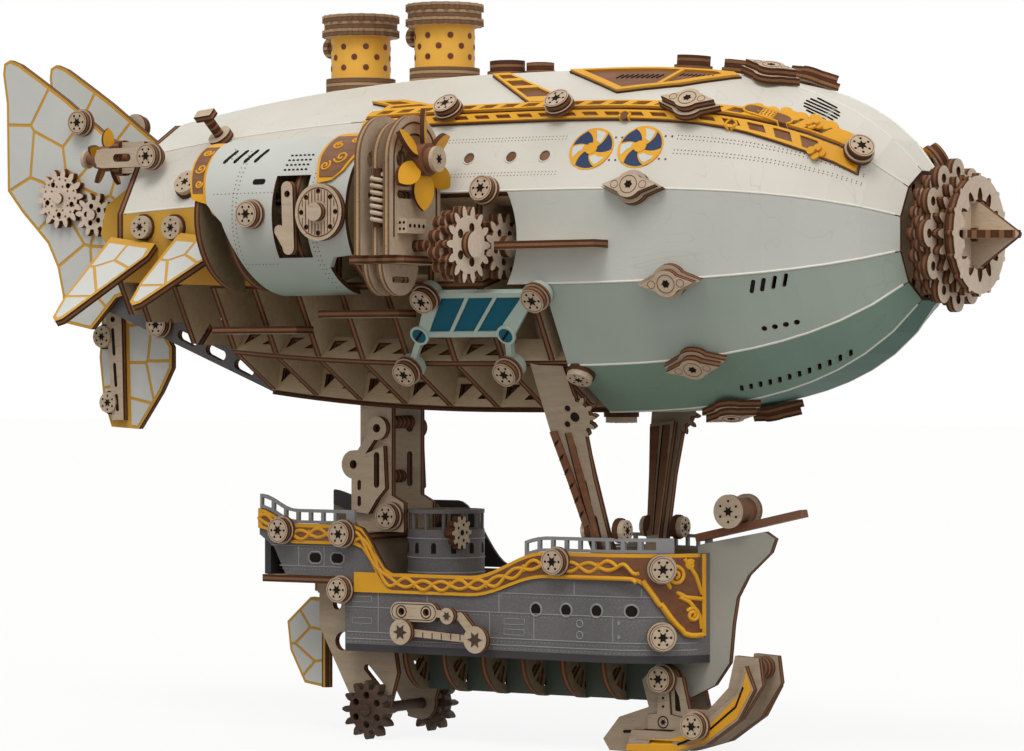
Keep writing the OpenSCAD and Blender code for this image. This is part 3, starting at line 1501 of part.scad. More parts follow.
module stern_legs() {
    color(ply_color) pair() sheet_y(-leg_y) difference() {
        union() {
            polygon([
                [-46, counter_z - seat_gap], [-34.4, counter_z - seat_gap], [-34.4, bottom_z - seat_gap],
                [-21, bottom_z - seat_gap], [-20, 18], [-23, 8], [-27, 3.4], [-31, 4], [-36, 12], [-46, 30]
            ]);
            translate([wheel_x, wheel_r]) circle(r = 4.4);
        }
        translate([wheel_x, wheel_r]) circle(r = dowel_r + run_gap);
        translate([-40, 36]) circle(r = 1.4);
        translate([-38, 26]) circle(r = 2.6);
        slot_2d(-30, 19, -25, 14, 2);
    }
    // rudder post under the counter
    color(ply_color) difference() {
        union() {
            translate([rudder_x, 0, post_z]) cylinder(r = 3.4, h = post_h);
            translate([rudder_x + 4, -leg_y + ply / 2, post_z]) cube([3, 2 * leg_y - ply, post_h]);
            translate([rudder_x, -3, post_z]) cube([5, 6, post_h]);
        }
        translate([rudder_x, 0, 0]) cylinder(r = dowel_r + run_gap, h = 60);
    }
}
module stern_wheels() {
    color(edge_color) {
        rod_y(wheel_x, -wheel_y - ply / 2 - 1, wheel_y + ply / 2 + 1, wheel_r, dowel_r);
        pair() translate([wheel_x, -wheel_y + 1.6, wheel_r]) rotate([90, 0, 0]) linear_extrude(3.2) rotate(30)
            difference() {
                gear_2d(12, wheel_r / 6.8, dowel_r - 0.1);
                ring_holes_2d(6, wheel_r * 0.5, 1);
            }
    }
}
rudder_low = 12;
module rudder() {
    color(white) {
        translate([rudder_x, 0, rudder_low]) cylinder(r = dowel_r, h = counter_z - 1 - rudder_low);
        sheet_y(0) polygon([
            [rudder_x, 36.6], [rudder_x - 5, 37], [rudder_x - rudder_len, 30],
            [rudder_x - rudder_len + 1, 22], [rudder_x - 7, rudder_low + 1], [rudder_x, rudder_low]
        ]);
    }
}

crown_panel();
upper_panels();
shoulder_panels();
side_panels();
lower_panels();
bilge_panels();
keel_panel();
bulkheads();
stringers();
nose_rotor();
nose_cone();
nose_axle();
trim_base();
trim_fret();
ridge_bosses();
bolt_caps();
chimney_bases();
chimney_tubes();
chimney_rims();
nacelle_covers();
nacelle_formers();
nacelle_trim();
engine_arches();
catwalks();
nacelle_fittings();
propeller_starboard();
propeller_port();
drive_gear_starboard();
drive_gear_port();
idler_gear_starboard();
idler_gear_port();
window_frames();
window_panes();
tail_fins();
tail_cheeks();
tail_planes();
tail_booms();
ventral_fin();
tail_forks();
tail_propeller_starboard();
tail_propeller_port();
tail_gear_starboard();
tail_gear_port();
tail_pinion_starboard();
tail_pinion_port();
rear_strut();
front_struts();
hull_sides();
hull_trim();
decks();
rails();
turret();
hull_ribs();
stem_plate();
bowsprit();
pipework();
skids();
stern_legs();
stern_wheels();
rudder();
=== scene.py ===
import math

import bmesh
import bpy
import numpy as np
from mathutils import Matrix, Vector
from mathutils.bvhtree import BVHTree
from mathutils.geometry import tessellate_polygon


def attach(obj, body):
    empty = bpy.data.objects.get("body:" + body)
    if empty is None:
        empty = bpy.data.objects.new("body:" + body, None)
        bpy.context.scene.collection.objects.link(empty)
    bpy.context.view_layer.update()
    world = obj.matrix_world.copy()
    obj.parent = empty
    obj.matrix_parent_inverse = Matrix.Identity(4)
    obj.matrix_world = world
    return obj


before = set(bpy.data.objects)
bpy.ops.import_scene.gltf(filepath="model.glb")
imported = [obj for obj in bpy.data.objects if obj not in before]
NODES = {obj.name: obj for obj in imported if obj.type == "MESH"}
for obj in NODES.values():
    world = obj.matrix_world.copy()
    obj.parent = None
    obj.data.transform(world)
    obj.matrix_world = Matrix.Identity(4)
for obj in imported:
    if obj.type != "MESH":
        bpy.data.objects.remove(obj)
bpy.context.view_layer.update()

SCENE = bpy.context.scene

# A millimetre in metres; lengths below are in millimetres where nothing else is said
MM = 0.001

# Driving sizes and places, shared with the solids
PLY = 2.0
AXIS_Z = 134.0
FACET = 30.0
NACELLE_AXIS = (42, 141)
PROPELLER = (58, 154)
TAIL_PROPELLER = (22, 160)
TAIL_GEAR = (-136.7, 149.7)
FLUES = ((-40.5, 180.7), (-12.5, 182.5))
TURRET_X = -12
TURRET_R = 10.5
GONDOLA_TOP = 85.0
HULL_Y = 18
BOW = (58, 17)

# The way that the bow's boards run: ahead and towards the middle
BOW_ALONG = (0.68, 0.733)

# The body of all that doesn't move, and the sides by their sign in Y
HULL = "airship"
SIDES = {-1: "starboard", 1: "port"}

# Print colours, as sRGB levels from 0 to 255. The envelope's colours from WARM_WHITE down to DEEP_SAGE darken
# towards the keel partly by the print and partly as painted shade of the underside
WARM_WHITE = (219, 216, 206)
COOL_WHITE = (202, 205, 199)
COOL_SHADE = (185, 187, 180)
PALE_SAGE = (177, 189, 179)
SAGE = (132, 158, 143)
DEEP_SAGE = (56, 98, 82)
BIRCH = (212, 196, 174)
BIRCH_DARK = (182, 158, 132)
BURNT = (84, 53, 36)
BURNT_CORE = (144, 101, 70)
STAIN = (136, 88, 58)
GOLD = (236, 174, 42)
OCHRE = (214, 164, 62)
SLATE = (85, 83, 85)
SLATE_PALE = (150, 150, 152)
MINT = (192, 208, 198)
TEAL = (6, 96, 118)
NAVY = (38, 58, 96)
SOOT = (20, 17, 15)


def linear(colour):
    """An sRGB colour of 0 to 255 as the linear RGBA that sockets take."""
    def channel(c):
        c /= 255
        return c / 12.92 if c <= 0.04045 else ((c + 0.055) / 1.055) ** 2.4
    return (*(channel(c) for c in colour), 1.0)


# Node building

def add(tree, kind, links=None, **settings):
    """A node of that kind, with attributes set and inputs linked or filled by name or index."""
    made = tree.nodes.new(kind)
    for key, value in settings.items():
        setattr(made, key, value)
    for key, value in (links or {}).items():
        socket = made.inputs[key]
        if isinstance(value, bpy.types.NodeSocket):
            tree.links.new(value, socket)
        else:
            socket.default_value = value
    return made


def sums(tree, operation, a, b=0.0, clamp=False):
    return add(tree, "ShaderNodeMath", {0: a, 1: b}, operation=operation, use_clamp=clamp).outputs[0]


def apart(tree, a, b):
    """How far a value lies from another."""
    return sums(tree, "ABSOLUTE", sums(tree, "SUBTRACT", a, b))


def ranged(tree, value, low, high, start=0.0, end=1.0):
    """A value between low and high carried over to start and end."""
    return add(tree, "ShaderNodeMapRange", {0: value, 1: low, 2: high, 3: start, 4: end}).outputs[0]


def noise(tree, where, scale, detail, distortion=0.0):
    return add(tree, "ShaderNodeTexNoise", {
        "Vector": where, "Scale": scale, "Detail": detail, "Distortion": distortion}).outputs[0]


def new_group(name, **inputs):
    """A shader node group and its inputs: numbers by their default values, or vectors for None."""
    tree = bpy.data.node_groups.new(name, "ShaderNodeTree")
    for label, default in inputs.items():
        kind = "NodeSocketVector" if default is None else "NodeSocketFloat"
        socket = tree.interface.new_socket(label, in_out="INPUT", socket_type=kind)
        if default is not None:
            socket.default_value = default
    return tree, tree.nodes.new("NodeGroupInput").outputs


def give(tree, **outputs):
    """Closes a group with the named values as what it offers."""
    for label in outputs:
        tree.interface.new_socket(label, in_out="OUTPUT", socket_type="NodeSocketFloat")
    out = tree.nodes.new("NodeGroupOutput").inputs
    for label, value in outputs.items():
        tree.links.new(value, out[label])
    return tree


def build_birch_grain():
    """Long fibres and short pores of birch veneer."""
    tree, ends = new_group("birch_grain", Vector=None, Fineness=1.0)
    turned = add(tree, "ShaderNodeMapping", {
        "Vector": ends["Vector"], "Rotation": (0.35, 0.25, 0.3), "Scale": (90, 620, 620)})
    sized = add(tree, "ShaderNodeVectorMath", {0: turned.outputs[0], "Scale": ends["Fineness"]},
                operation="SCALE").outputs[0]
    fibre = noise(tree, sized, 1.0, 4.0)
    pore = ranged(tree, noise(tree, sized, 4.6, 2.0), 0.58, 0.74)
    return give(tree, Fibre=fibre, Pore=pore, Height=sums(tree, "SUBTRACT", fibre, pore))


def build_handling():
    """Broad smoke and handling stains, with a fine speckle of print ink."""
    tree, ends = new_group("handling", Vector=None)
    stain = ranged(tree, noise(tree, ends["Vector"], 38.0, 3.0), 0.38, 0.72)
    return give(tree, Stain=stain, Speckle=noise(tree, ends["Vector"], 2600.0, 1.0))


def build_fine_contours():
    """Thin winding lines, like the contours on a chart."""
    tree, ends = new_group("fine_contours", Vector=None, Size=60.0, Width=0.02)
    field = noise(tree, ends["Vector"], ends["Size"], 1.0, 1.2)
    bands = sums(tree, "FRACT", sums(tree, "MULTIPLY", field, 5.0))
    line = sums(tree, "LESS_THAN", apart(tree, bands, 0.5), ends["Width"])
    shown = sums(tree, "GREATER_THAN", noise(tree, ends["Vector"], 24.0, 0.0), 0.5)
    return give(tree, Line=sums(tree, "MULTIPLY", line, shown))


def build_ply_layers():
    """Core and glue lines across a sheet's edge, by the depth that each vertex carries."""
    tree, ends = new_group("ply_layers", Sheet=PLY)
    depth = add(tree, "ShaderNodeAttribute", attribute_name="sheet_depth").outputs["Fac"]
    off = apart(tree, sums(tree, "FRACT", sums(tree, "DIVIDE", depth, ends["Sheet"])), 0.5)
    glue = ranged(tree, apart(tree, off, 0.24), 0.06, 0.02)
    return give(tree, Core=ranged(tree, off, 0.26, 0.14), Glue=glue)


GROUPS = [build_birch_grain(), build_handling(), build_fine_contours(), build_ply_layers()]
GROUP_OF = {item.name: tree for tree in GROUPS for item in tree.interface.items_tree
            if item.in_out == "OUTPUT"}


# Finishes

class Finish:
    """A material with one Principled shader, tinted step by step with what the shared groups offer."""

    def __init__(self, name, colour, roughness, specular, fineness=1.0):
        self.material = bpy.data.materials.new(name)
        self.material.use_nodes = True
        self.tree = self.material.node_tree
        self.shader = self.tree.nodes["Principled BSDF"].inputs
        self.shader["Roughness"].default_value = roughness
        self.shader["Specular IOR Level"].default_value = specular
        self.where = add(self.tree, "ShaderNodeTexCoord").outputs["Object"]
        self.colour = linear(colour)
        self.fineness = fineness
        self.groups = {}

    def field(self, name):
        """A value of a shared group, whose node is added when it is first asked for."""
        group = GROUP_OF[name]
        if group.name not in self.groups:
            made = add(self.tree, "ShaderNodeGroup", node_tree=group)
            if "Vector" in made.inputs:
                self.tree.links.new(self.where, made.inputs["Vector"])
            if "Fineness" in made.inputs:
                made.inputs["Fineness"].default_value = self.fineness
            self.groups[group.name] = made.outputs
        return self.groups[group.name][name]

    def tint(self, share, colour, strength=None):
        """Turns the colour towards another by a share, which is a socket or a field's name."""
        if isinstance(share, str):
            share = self.field(share)
        if strength is not None:
            share = sums(self.tree, "MULTIPLY", share, strength, clamp=True)
        ends = {0: share, 6: self.colour, 7: linear(colour)}
        self.colour = add(self.tree, "ShaderNodeMix", ends, data_type="RGBA").outputs[2]

    def rough(self, name, low, high):
        self.tree.links.new(ranged(self.tree, self.field(name), 0, 1, low, high), self.shader["Roughness"])

    def bump(self, height, strength, depth):
        made = add(self.tree, "ShaderNodeBump", {"Height": height, "Strength": strength, "Distance": depth})
        self.tree.links.new(made.outputs[0], self.shader["Normal"])

    def done(self):
        self.tree.links.new(self.colour, self.shader["Base Color"])
        return self.material


def raw_birch(name, pale, dark):
    """The face of unprinted birch plywood."""
    f = Finish(name, dark, 0.62, 0.25)
    f.tint("Fibre", pale)
    f.tint("Stain", BIRCH_DARK, 0.22)
    f.tint("Pore", BURNT_CORE, 0.35)
    f.rough("Fibre", 0.7, 0.52)
    f.bump(f.field("Height"), 0.25, 0.0002)
    return f.done()


def burnt_edge(name, dark, core):
    """A laser-cut edge: scorched veneers with a lighter core between the glue lines."""
    f = Finish(name, dark, 0.75, 0.15, fineness=2.2)
    f.tint("Core", core)
    f.tint("Glue", SOOT, 0.7)
    f.tint("Stain", BURNT, 0.45)
    f.tint("Pore", SOOT, 0.5)
    f.bump(f.field("Fibre"), 0.4, 0.0003)
    return f.done()


def printed(name, ink, shade, lines=0.0, line_ink=BIRCH_DARK, roughness=0.55, fade=None):
    """Matte ink on plywood, with the wood's grain showing faintly through it.
    A fade is an ink that takes over downwards, and the heights where it starts and is full."""
    f = Finish(name, ink, roughness, 0.3, fineness=0.8)
    for field, strength in (("Stain", 0.5), ("Pore", 0.12), ("Speckle", 0.12)):
        f.tint(field, shade, strength)
    if fade:
        low_ink, start, full = fade
        z = add(f.tree, "ShaderNodeSeparateXYZ", {0: f.where}).outputs[2]
        f.tint(ranged(f.tree, z, start, full, 0.0, 0.8), low_ink)
    height = f.field("Height")
    if lines:
        f.tint("Line", line_ink, lines)
        height = sums(f.tree, "SUBTRACT", height, sums(f.tree, "MULTIPLY", f.field("Line"), 3.0))
    f.rough("Speckle", roughness - 0.08, roughness + 0.12)
    f.bump(height, 0.12, 0.0002)
    return f.done()


def slate_print(name):
    """Dark grey ink with the grain rubbed pale, as on the gondola's boards."""
    f = Finish(name, SLATE, 0.6, 0.3, fineness=1.4)
    f.tint("Speckle", (138, 135, 135), 0.75)
    f.tint("Pore", SLATE_PALE, 0.3)
    f.tint("Stain", (60, 58, 60), 0.35)
    f.rough("Speckle", 0.5, 0.75)
    f.bump(f.field("Height"), 0.2, 0.0002)
    return f.done()


def glazed_teal(name):
    """The glossy teal of the window panes, with deeper stains."""
    f = Finish(name, TEAL, 0.4, 0.12)
    f.tint("Stain", (4, 62, 80), 0.6)
    f.tint("Speckle", (24, 126, 146), 0.15)
    f.rough("Speckle", 0.34, 0.48)
    return f.done()


def burnt_black_and_hole_shade(name):
    """The burnt black of a slot or dot, which on the strut heads is painted shade inside the gear's holes."""
    f = Finish(name, SOOT, 0.85, 0.1)
    f.tint("Speckle", (44, 34, 28))
    return f.done()


FINISH = {
    "birch": raw_birch("birch_face", BIRCH, BIRCH_DARK),
    # Darker birch for the skins' inner sides, the nacelle formers and the hull ribs: painted shade inside the
    # model
    "birch_painted_shade": raw_birch("birch_painted_shade", (150, 136, 106), (112, 96, 70)),
    "birch_pale": raw_birch("birch_pale", (238, 222, 204), (212, 192, 170)),
    # A darker birch for the skids, stern legs, front struts and skid links: painted shade
    "birch_mid_painted_shade": raw_birch("birch_mid_painted_shade", (182, 166, 146), (150, 132, 110)),
    "birch_inner": raw_birch("birch_inner", (214, 196, 166), (186, 164, 130)),
    "edge": burnt_edge("burnt_edge", BURNT, BURNT_CORE),
    "pale_edge": burnt_edge("pale_edge", (132, 100, 74), (190, 160, 124)),
    "stain": raw_birch("stained_birch", STAIN, (92, 56, 36)),
    # Dark stained birch: a real dark stain on the pipe sockets, and painted shade on the stern wheels
    "dark_stain_and_shade": raw_birch("dark_stained_birch_and_shade", (74, 54, 42), (48, 34, 26)),
    "warm_white": printed("warm_white_print", WARM_WHITE, (201, 197, 186), lines=0.22),
    "cool_white": printed("cool_white_print", COOL_WHITE, COOL_SHADE, lines=0.2),
    "nacelle_white": printed("nacelle_print", COOL_WHITE, COOL_SHADE, lines=0.2, fade=(SAGE, 0.136, 0.116)),
    # The envelope's greens below are partly their print and partly painted shade of the underside, darker
    # towards the keel
    "pale_sage": printed("pale_sage_print_and_shade", PALE_SAGE, (160, 173, 163), lines=0.2, line_ink=SAGE),
    "sage": printed("sage_print_and_shade", SAGE, (116, 142, 127), lines=0.12, line_ink=DEEP_SAGE),
    "deep_sage": printed("deep_sage_print_and_shade", DEEP_SAGE, (46, 84, 70)),
    "gold": printed("gold_print", GOLD, (202, 136, 30), roughness=0.5),
    "tube_gold": printed("tube_gold_print", (246, 190, 80), (222, 160, 54), roughness=0.5),
    "ochre": printed("ochre_print", OCHRE, (184, 134, 46)),
    "slate": slate_print("slate_print"),
    "slate_line": printed("slate_line", SLATE_PALE, (124, 124, 126)),
    # A darker slate for the transom, the bottom board and the port bulwark's inner side: painted shade
    "slate_painted_shade": printed("slate_painted_shade", (58, 56, 57), (44, 43, 45)),
    "mint": printed("mint_print", MINT, (166, 186, 176)),
    "cell_white": printed("cell_white_print", (214, 216, 212), (190, 194, 190)),
    "navy": printed("navy_print", NAVY, (24, 38, 70)),
    # A near-white for the lines along the ridges: painted highlight on the veneer's edges
    "ridge_highlight": printed("ridge_highlight_white", (236, 234, 224), (214, 212, 200)),
    "teal": glazed_teal("teal_pane"),
    # Burnt black for slots and dots, and painted shade in the strut heads' gear holes
    "soot_and_hole_shade": burnt_black_and_hole_shade("burnt_slot_and_hole_shade"),
    "scorch": raw_birch("scorched_hole", (118, 50, 32), (84, 34, 22)),
    # The stem plate's pale grey print, darkened as painted shade
    "stem_grey_and_shade": printed("stem_grey_print_and_shade", (172, 171, 161), (150, 149, 140), lines=0.15),
    # The keel board's dark grey-green: partly its green print, partly painted shade between the gondola's
    # ribs
    "keel_green_and_shade": printed("keel_green_print_and_shade", (78, 88, 76), (62, 71, 61)),
}


# Reading the solids

def node_arrays(name):
    """A node's vertices, triangles, triangle normals and areas as arrays."""
    mesh = NODES[name].data
    points = np.empty(len(mesh.vertices) * 3)
    mesh.vertices.foreach_get("co", points)
    points = points.reshape(-1, 3)
    faces = np.array([tuple(p.vertices) for p in mesh.polygons])
    a, b, c = (points[faces[:, i]] for i in range(3))
    cross = np.cross(b - a, c - a)
    length = np.linalg.norm(cross, axis=1)
    return points, faces, cross / np.maximum(length, 1e-18)[:, None], length / 2


def node_box(name):
    """The corners of a node's box, in millimetres."""
    points = node_arrays(name)[0] / MM
    return points.min(axis=0), points.max(axis=0)


def solids_of(points, faces):
    """The number of the solid that each triangle belongs to."""
    _, same = np.unique(np.round(points, 7), axis=0, return_inverse=True)
    joined = same.reshape(-1)[faces]
    label = np.arange(joined.max() + 1)
    while True:
        low = label[joined].min(axis=1)
        fresh = label.copy()
        for i in range(3):
            np.minimum.at(fresh, joined[:, i], low)
        fresh = fresh[fresh]
        if (fresh == label).all():
            return label[joined[:, 0]]
        label = fresh


def main_normal(normals, areas):
    """The direction, either way round, that most of the area faces."""
    x, y, z = normals.T
    flip = np.where(np.abs(x) > 0.02, np.sign(x), np.where(np.abs(y) > 0.02, np.sign(y), np.sign(z)))
    keys, index = np.unique(np.round(normals * flip[:, None], 2), axis=0, return_inverse=True)
    total = np.bincount(index.reshape(-1), weights=areas)
    best = keys[total.argmax()]
    near = (normals * flip[:, None]) @ best > 0.999 * np.linalg.norm(best)
    mean = (normals * (flip * areas)[:, None])[near].sum(axis=0)
    return mean / np.linalg.norm(mean)


def sprit_and_capstan():
    """The bowsprit node's triangles by solid, and the numbers of its longest and shortest solid."""
    points, faces, _, _ = node_arrays("bowsprit")
    solid = solids_of(points, faces)
    length = {n: np.ptp(points[np.unique(faces[solid == n])][:, 0]) for n in np.unique(solid)}
    return solid, max(length, key=length.get), min(length, key=length.get)


# Painting the solids' own faces

# Cosines over which a triangle lies flat on a sheet, or looks out of or into a skin
FLAT = 0.96
FACING = 0.2


def set_materials(name, finishes, index, depth=None):
    """Gives each triangle one of the finishes, and each vertex its depth in its sheet in millimetres."""
    mesh = NODES[name].data
    mesh.materials.clear()
    for finish in finishes:
        mesh.materials.append(FINISH[finish])
    mesh.polygons.foreach_set("material_index", np.asarray(index, dtype=np.int32))
    depth = np.zeros(len(mesh.vertices)) if depth is None else depth
    kept = mesh.attributes.new("sheet_depth", "FLOAT", "POINT")
    kept.data.foreach_set("value", depth.astype(np.float32))
    mesh.update()


def repaint(name, finish, chosen):
    """Gives the chosen triangles of a painted node another finish."""
    mesh = NODES[name].data
    material = FINISH[finish]
    if material.name not in mesh.materials:
        mesh.materials.append(material)
    index = np.empty(len(mesh.polygons), dtype=np.int32)
    mesh.polygons.foreach_get("material_index", index)
    index[chosen] = mesh.materials.find(material.name)
    mesh.polygons.foreach_set("material_index", index)


def paint_sheets(name, face="birch", edge="edge", axes=None):
    """Gives the flat faces of each cut sheet one finish and its cut edges another.
    Flat is what lies square to the sheet's main direction, or to the axes where they are given."""
    points, faces, normals, areas = node_arrays(name)
    solid = solids_of(points, faces)
    index = np.ones(len(faces), int)
    depth = np.zeros(len(points))
    for number in np.unique(solid):
        own = solid == number
        found = axes or [main_normal(normals[own], areas[own])]
        index[own] = np.max([np.abs(normals[own] @ a) for a in found], axis=0) <= FLAT
        corners = np.unique(faces[own])
        along = points[corners] @ found[0]
        depth[corners] = (along - along.min()) / MM
    set_materials(name, [face, edge], index, depth)


def paint_skin(name, outward, outer, inner="birch_painted_shade", edge="edge"):
    """Finishes for a bent skin: its outer side, its inner side and its cut edges. The inner side's darker
    birch, unless another is given, is painted shade.
    """
    points, faces, normals, _ = node_arrays(name)
    facing = (normals * outward(points[faces].mean(axis=1))).sum(axis=1)
    set_materials(name, [outer, inner, edge], np.where(facing > FACING, 0, np.where(facing < -FACING, 1, 2)))


def paint_propeller(name, y, z, hub):
    """Gold blades with scorched edges round a dark hub."""
    points, faces, normals, _ = node_arrays(name)
    centre = points[faces].mean(axis=1) / MM
    inside = np.hypot(centre[:, 1] - y, centre[:, 2] - z) < hub
    flat = np.abs(normals[:, 0]) > 0.6
    set_materials(name, ["gold", "edge", "stain"], np.where(inside, 2, np.where(flat, 0, 1)))


def from_axis(y, z):
    """Outward directions round an axis along X, on both sides of the middle plane."""
    def outward(centres):
        ray = centres.copy()
        ray[:, 0] = 0
        ray[:, 1] -= np.sign(centres[:, 1]) * y * MM
        ray[:, 2] -= z * MM
        return ray / np.linalg.norm(ray, axis=1)[:, None]
    return outward


def from_upright(*places):
    """Outward directions round the nearest of several upright axes in the middle plane."""
    def outward(centres):
        ray = np.full_like(centres, np.inf)
        for x in places:
            offset = centres - np.array([x * MM, 0, 0])
            offset[:, 2] = 0
            nearer = np.linalg.norm(offset, axis=1) < np.linalg.norm(ray, axis=1)
            ray[nearer] = offset[nearer]
        return ray / np.maximum(np.linalg.norm(ray, axis=1), 1e-9)[:, None]
    return outward


def away_from_middle(centres):
    """Outward directions of the gondola's side boards, which turn in towards the bow."""
    bend_start, bend_end = 48, 72
    bent = (centres[:, 0] / MM - bend_start) / (bend_end - bend_start)
    ray = np.zeros_like(centres)
    ray[:, 0] = 1.2 * np.clip(bent, 0, 1)
    ray[:, 1] = np.sign(centres[:, 1])
    return ray / np.linalg.norm(ray, axis=1)[:, None]


PANELS = {0: "crown_panel", 1: "upper_panels", 2: "shoulder_panels", 3: "side_panels",
          4: "lower_panels", 5: "bilge_panels", 6: "keel_panel"}
# Panel finishes from crown to keel, darker downwards partly by their print and partly as painted shade of the
# underside
PANEL_PRINT_AND_SHADE = {0: "warm_white", 1: "warm_white", 2: "warm_white", 3: "cool_white",
               4: "pale_sage", 5: "sage", 6: "deep_sage"}

# Face and edge finishes of the cut sheets
SHEETS = {
    ("birch", "edge"): "ridge_bosses bolt_caps catwalks nacelle_fittings tail_forks rear_strut decks "
                       "pipework",
    ("birch", "pale_edge"): "engine_arches chimney_rims chimney_bases",
    ("birch_inner", "edge"): "bulkheads stringers",
    # The nacelle formers and hull ribs take the darker birch as painted shade
    ("birch_painted_shade", "edge"): "nacelle_formers hull_ribs",
    # Skids, stern legs and front struts take the darker birch as painted shade
    ("birch_mid_painted_shade", "edge"): "skids stern_legs front_struts",
    ("birch_pale", "edge"): "nose_rotor drive_gear_starboard drive_gear_port idler_gear_starboard "
                            "idler_gear_port tail_gear_starboard tail_gear_port tail_pinion_starboard "
                            "tail_pinion_port",
    ("stain", "edge"): "nose_axle",
    # The stern wheels are dark all over as painted shade
    ("dark_stain_and_shade", "dark_stain_and_shade"): "stern_wheels",
    # The stem plate's grey is partly print and partly painted shade
    ("stem_grey_and_shade", "edge"): "stem_plate",
    ("ochre", "edge"): "tail_fins tail_planes ventral_fin rudder tail_cheeks",
    ("slate", "edge"): "tail_booms",
    ("slate_line", "slate_line"): "rails",
    ("mint", "mint"): "window_frames",
    ("teal", "teal"): "window_panes",
}


def paint_frame():
    """Finishes of every solid, which all show as they are."""
    envelope, nacelle = from_axis(0, AXIS_Z), from_axis(*NACELLE_AXIS)
    for k, name in PANELS.items():
        paint_skin(name, envelope, PANEL_PRINT_AND_SHADE[k])
    paint_skin("nacelle_covers", nacelle, "nacelle_white")
    paint_skin("trim_base", envelope, "stain", "stain")
    paint_skin("trim_fret", envelope, "gold", "gold", "ochre")
    paint_skin("nacelle_trim", nacelle, "gold", "gold", "ochre")
    paint_skin("hull_sides", away_from_middle, "slate")
    paint_skin("hull_trim", away_from_middle, "gold", "gold", "stain")
    paint_skin("chimney_tubes", from_upright(*(x for x, _ in FLUES)), "tube_gold", "stain")
    paint_skin("turret", from_upright(TURRET_X), "slate", edge="slate")
    for (face, edge), names in SHEETS.items():
        for name in names.split():
            paint_sheets(name, face, edge)
    paint_sheets("nose_cone", axes=[(0, 1, 0), (0, 0, 1)])
    paint_sheets("bowsprit", edge="stain", axes=[(0, 1, 0)])
    for side, end in SIDES.items():
        for name, (y, z), hub in (("propeller_", PROPELLER, 4.4), ("tail_propeller_", TAIL_PROPELLER, 3.8)):
            paint_propeller(name + end, side * y, z, hub)


def paint_exceptions():
    """The transom and bottom board, the ventral fin's post and the sprit, unlike the rest of their nodes."""
    transom_x, stern_deck_z, bottom_z = -58, 44.5, 27
    points, faces, _, _ = node_arrays("decks")
    x, _, z = points[faces].mean(axis=1).T / MM
    # The transom and bottom board take the darker slate as painted shade
    repaint("decks", "slate_painted_shade", (x < transom_x) & (z > stern_deck_z) | (z < bottom_z))
    points, faces, normals, _ = node_arrays("ventral_fin")
    outside = np.abs(points[faces].mean(axis=1)[:, 1]) > (PLY / 2 + 0.05) * MM
    repaint("ventral_fin", "birch", outside & (np.abs(normals[:, 1]) > FLAT))
    solid, sprit, _ = sprit_and_capstan()
    repaint("bowsprit", "stain", solid == sprit)


paint_frame()
paint_exceptions()


# Laying print, dots and thin plates on the solids

# How far off a face the search for the skin under it starts
REACH = 70.0


class Skin:
    """The faces of some solids, for detail to lie on."""

    def __init__(self, *names):
        points, faces = [], []
        for name in names:
            own, triangles, _, _ = node_arrays(name)
            where = NODES[name].matrix_world
            faces += [tuple(int(i) + len(points) for i in t) for t in triangles]
            points += [where @ Vector(p) for p in own]
        self.tree = BVHTree.FromPolygons(points, faces)


class Face:
    """A working plane in millimetres: an origin, two directions in it and the way out.
    Where it has a skin, spots on the plane are let down onto that skin."""

    def __init__(self, origin, along, up, out, skin=None):
        self.origin, self.along, self.up, self.out = (Vector(v) for v in (origin, along, up, out))
        self.skin = skin

    def spot(self, u, v, lift=0.0):
        flat = self.origin + self.along * u + self.up * v
        if self.skin:
            hit = self.skin.tree.ray_cast((flat + self.out * REACH) * MM, -self.out)[0]
            if hit is not None:
                flat = hit / MM
        return (flat + self.out * lift) * MM


class Roll:
    """A rolled sheet round an axis along X, drawn in (x, distance round it from level)."""

    def __init__(self, y, z, radius, side):
        self.y, self.z, self.radius, self.side = y, z, radius, side

    def round_to(self, z):
        return self.radius * math.asin((z - self.z) / self.radius)

    def spot(self, u, v, lift=0.0):
        turn, r = v / self.radius, self.radius + lift
        return Vector((u, self.side * (self.y + r * math.cos(turn)), self.z + r * math.sin(turn))) * MM


def slope(k, side):
    """The way that facet k of the envelope looks, counted from the crown down one side."""
    turn = math.radians(FACET * k)
    return 0, side * math.sin(turn), math.cos(turn)


def facet(k, side, skin=None):
    """Facet k of the envelope as a plane through its axis, drawn in (x, across)."""
    out = slope(k, side)
    return Face((0, 0, AXIS_Z), (1, 0, 0), (0, -side * out[2], side * out[1]), out, skin)


def panel(k, side):
    """Facet k of the envelope, let down onto its panel."""
    return facet(k, side, PANEL_SKIN[k])


def flank(y, side, skin=None):
    """A plane square to Y at that distance from the middle, drawn in (x, z)."""
    return Face((0, side * y, 0), (1, 0, 0), (0, 0, 1), (0, side, 0), skin)


def head_on(x, y, z, way=1):
    """A plane square to X that looks to the nose, or to the tail for way -1."""
    return Face((x, y, z), (0, way, 0), (0, 0, 1), (way, 0, 0))


def top_face(spot, way):
    """A working plane on a cap, with its first direction along the model where it can be."""
    ahead = Vector((1, 0, 0)) - way * way.x
    along = ahead.normalized() if ahead.length > 0.3 else Vector((0, 1, 0))
    return Face(spot / MM, along, way.cross(along), way)


PANEL_SKIN = {k: Skin(name) for k, name in PANELS.items()}


# Outlines and paths, in millimetres

def polar(x, y, r, turn):
    return x + r * math.cos(turn), y + r * math.sin(turn)


def disc(x, y, r, n=24, start=0):
    return [polar(x, y, r, math.radians(start) + math.tau * i / n) for i in range(n)]


def star(x, y, r, inner, tips=6):
    return [polar(x, y, (r, inner)[i % 2], math.pi * i / tips) for i in range(2 * tips)]


def box(x0, y0, x1, y1):
    return [(x0, y0), (x1, y0), (x1, y1), (x0, y1)]


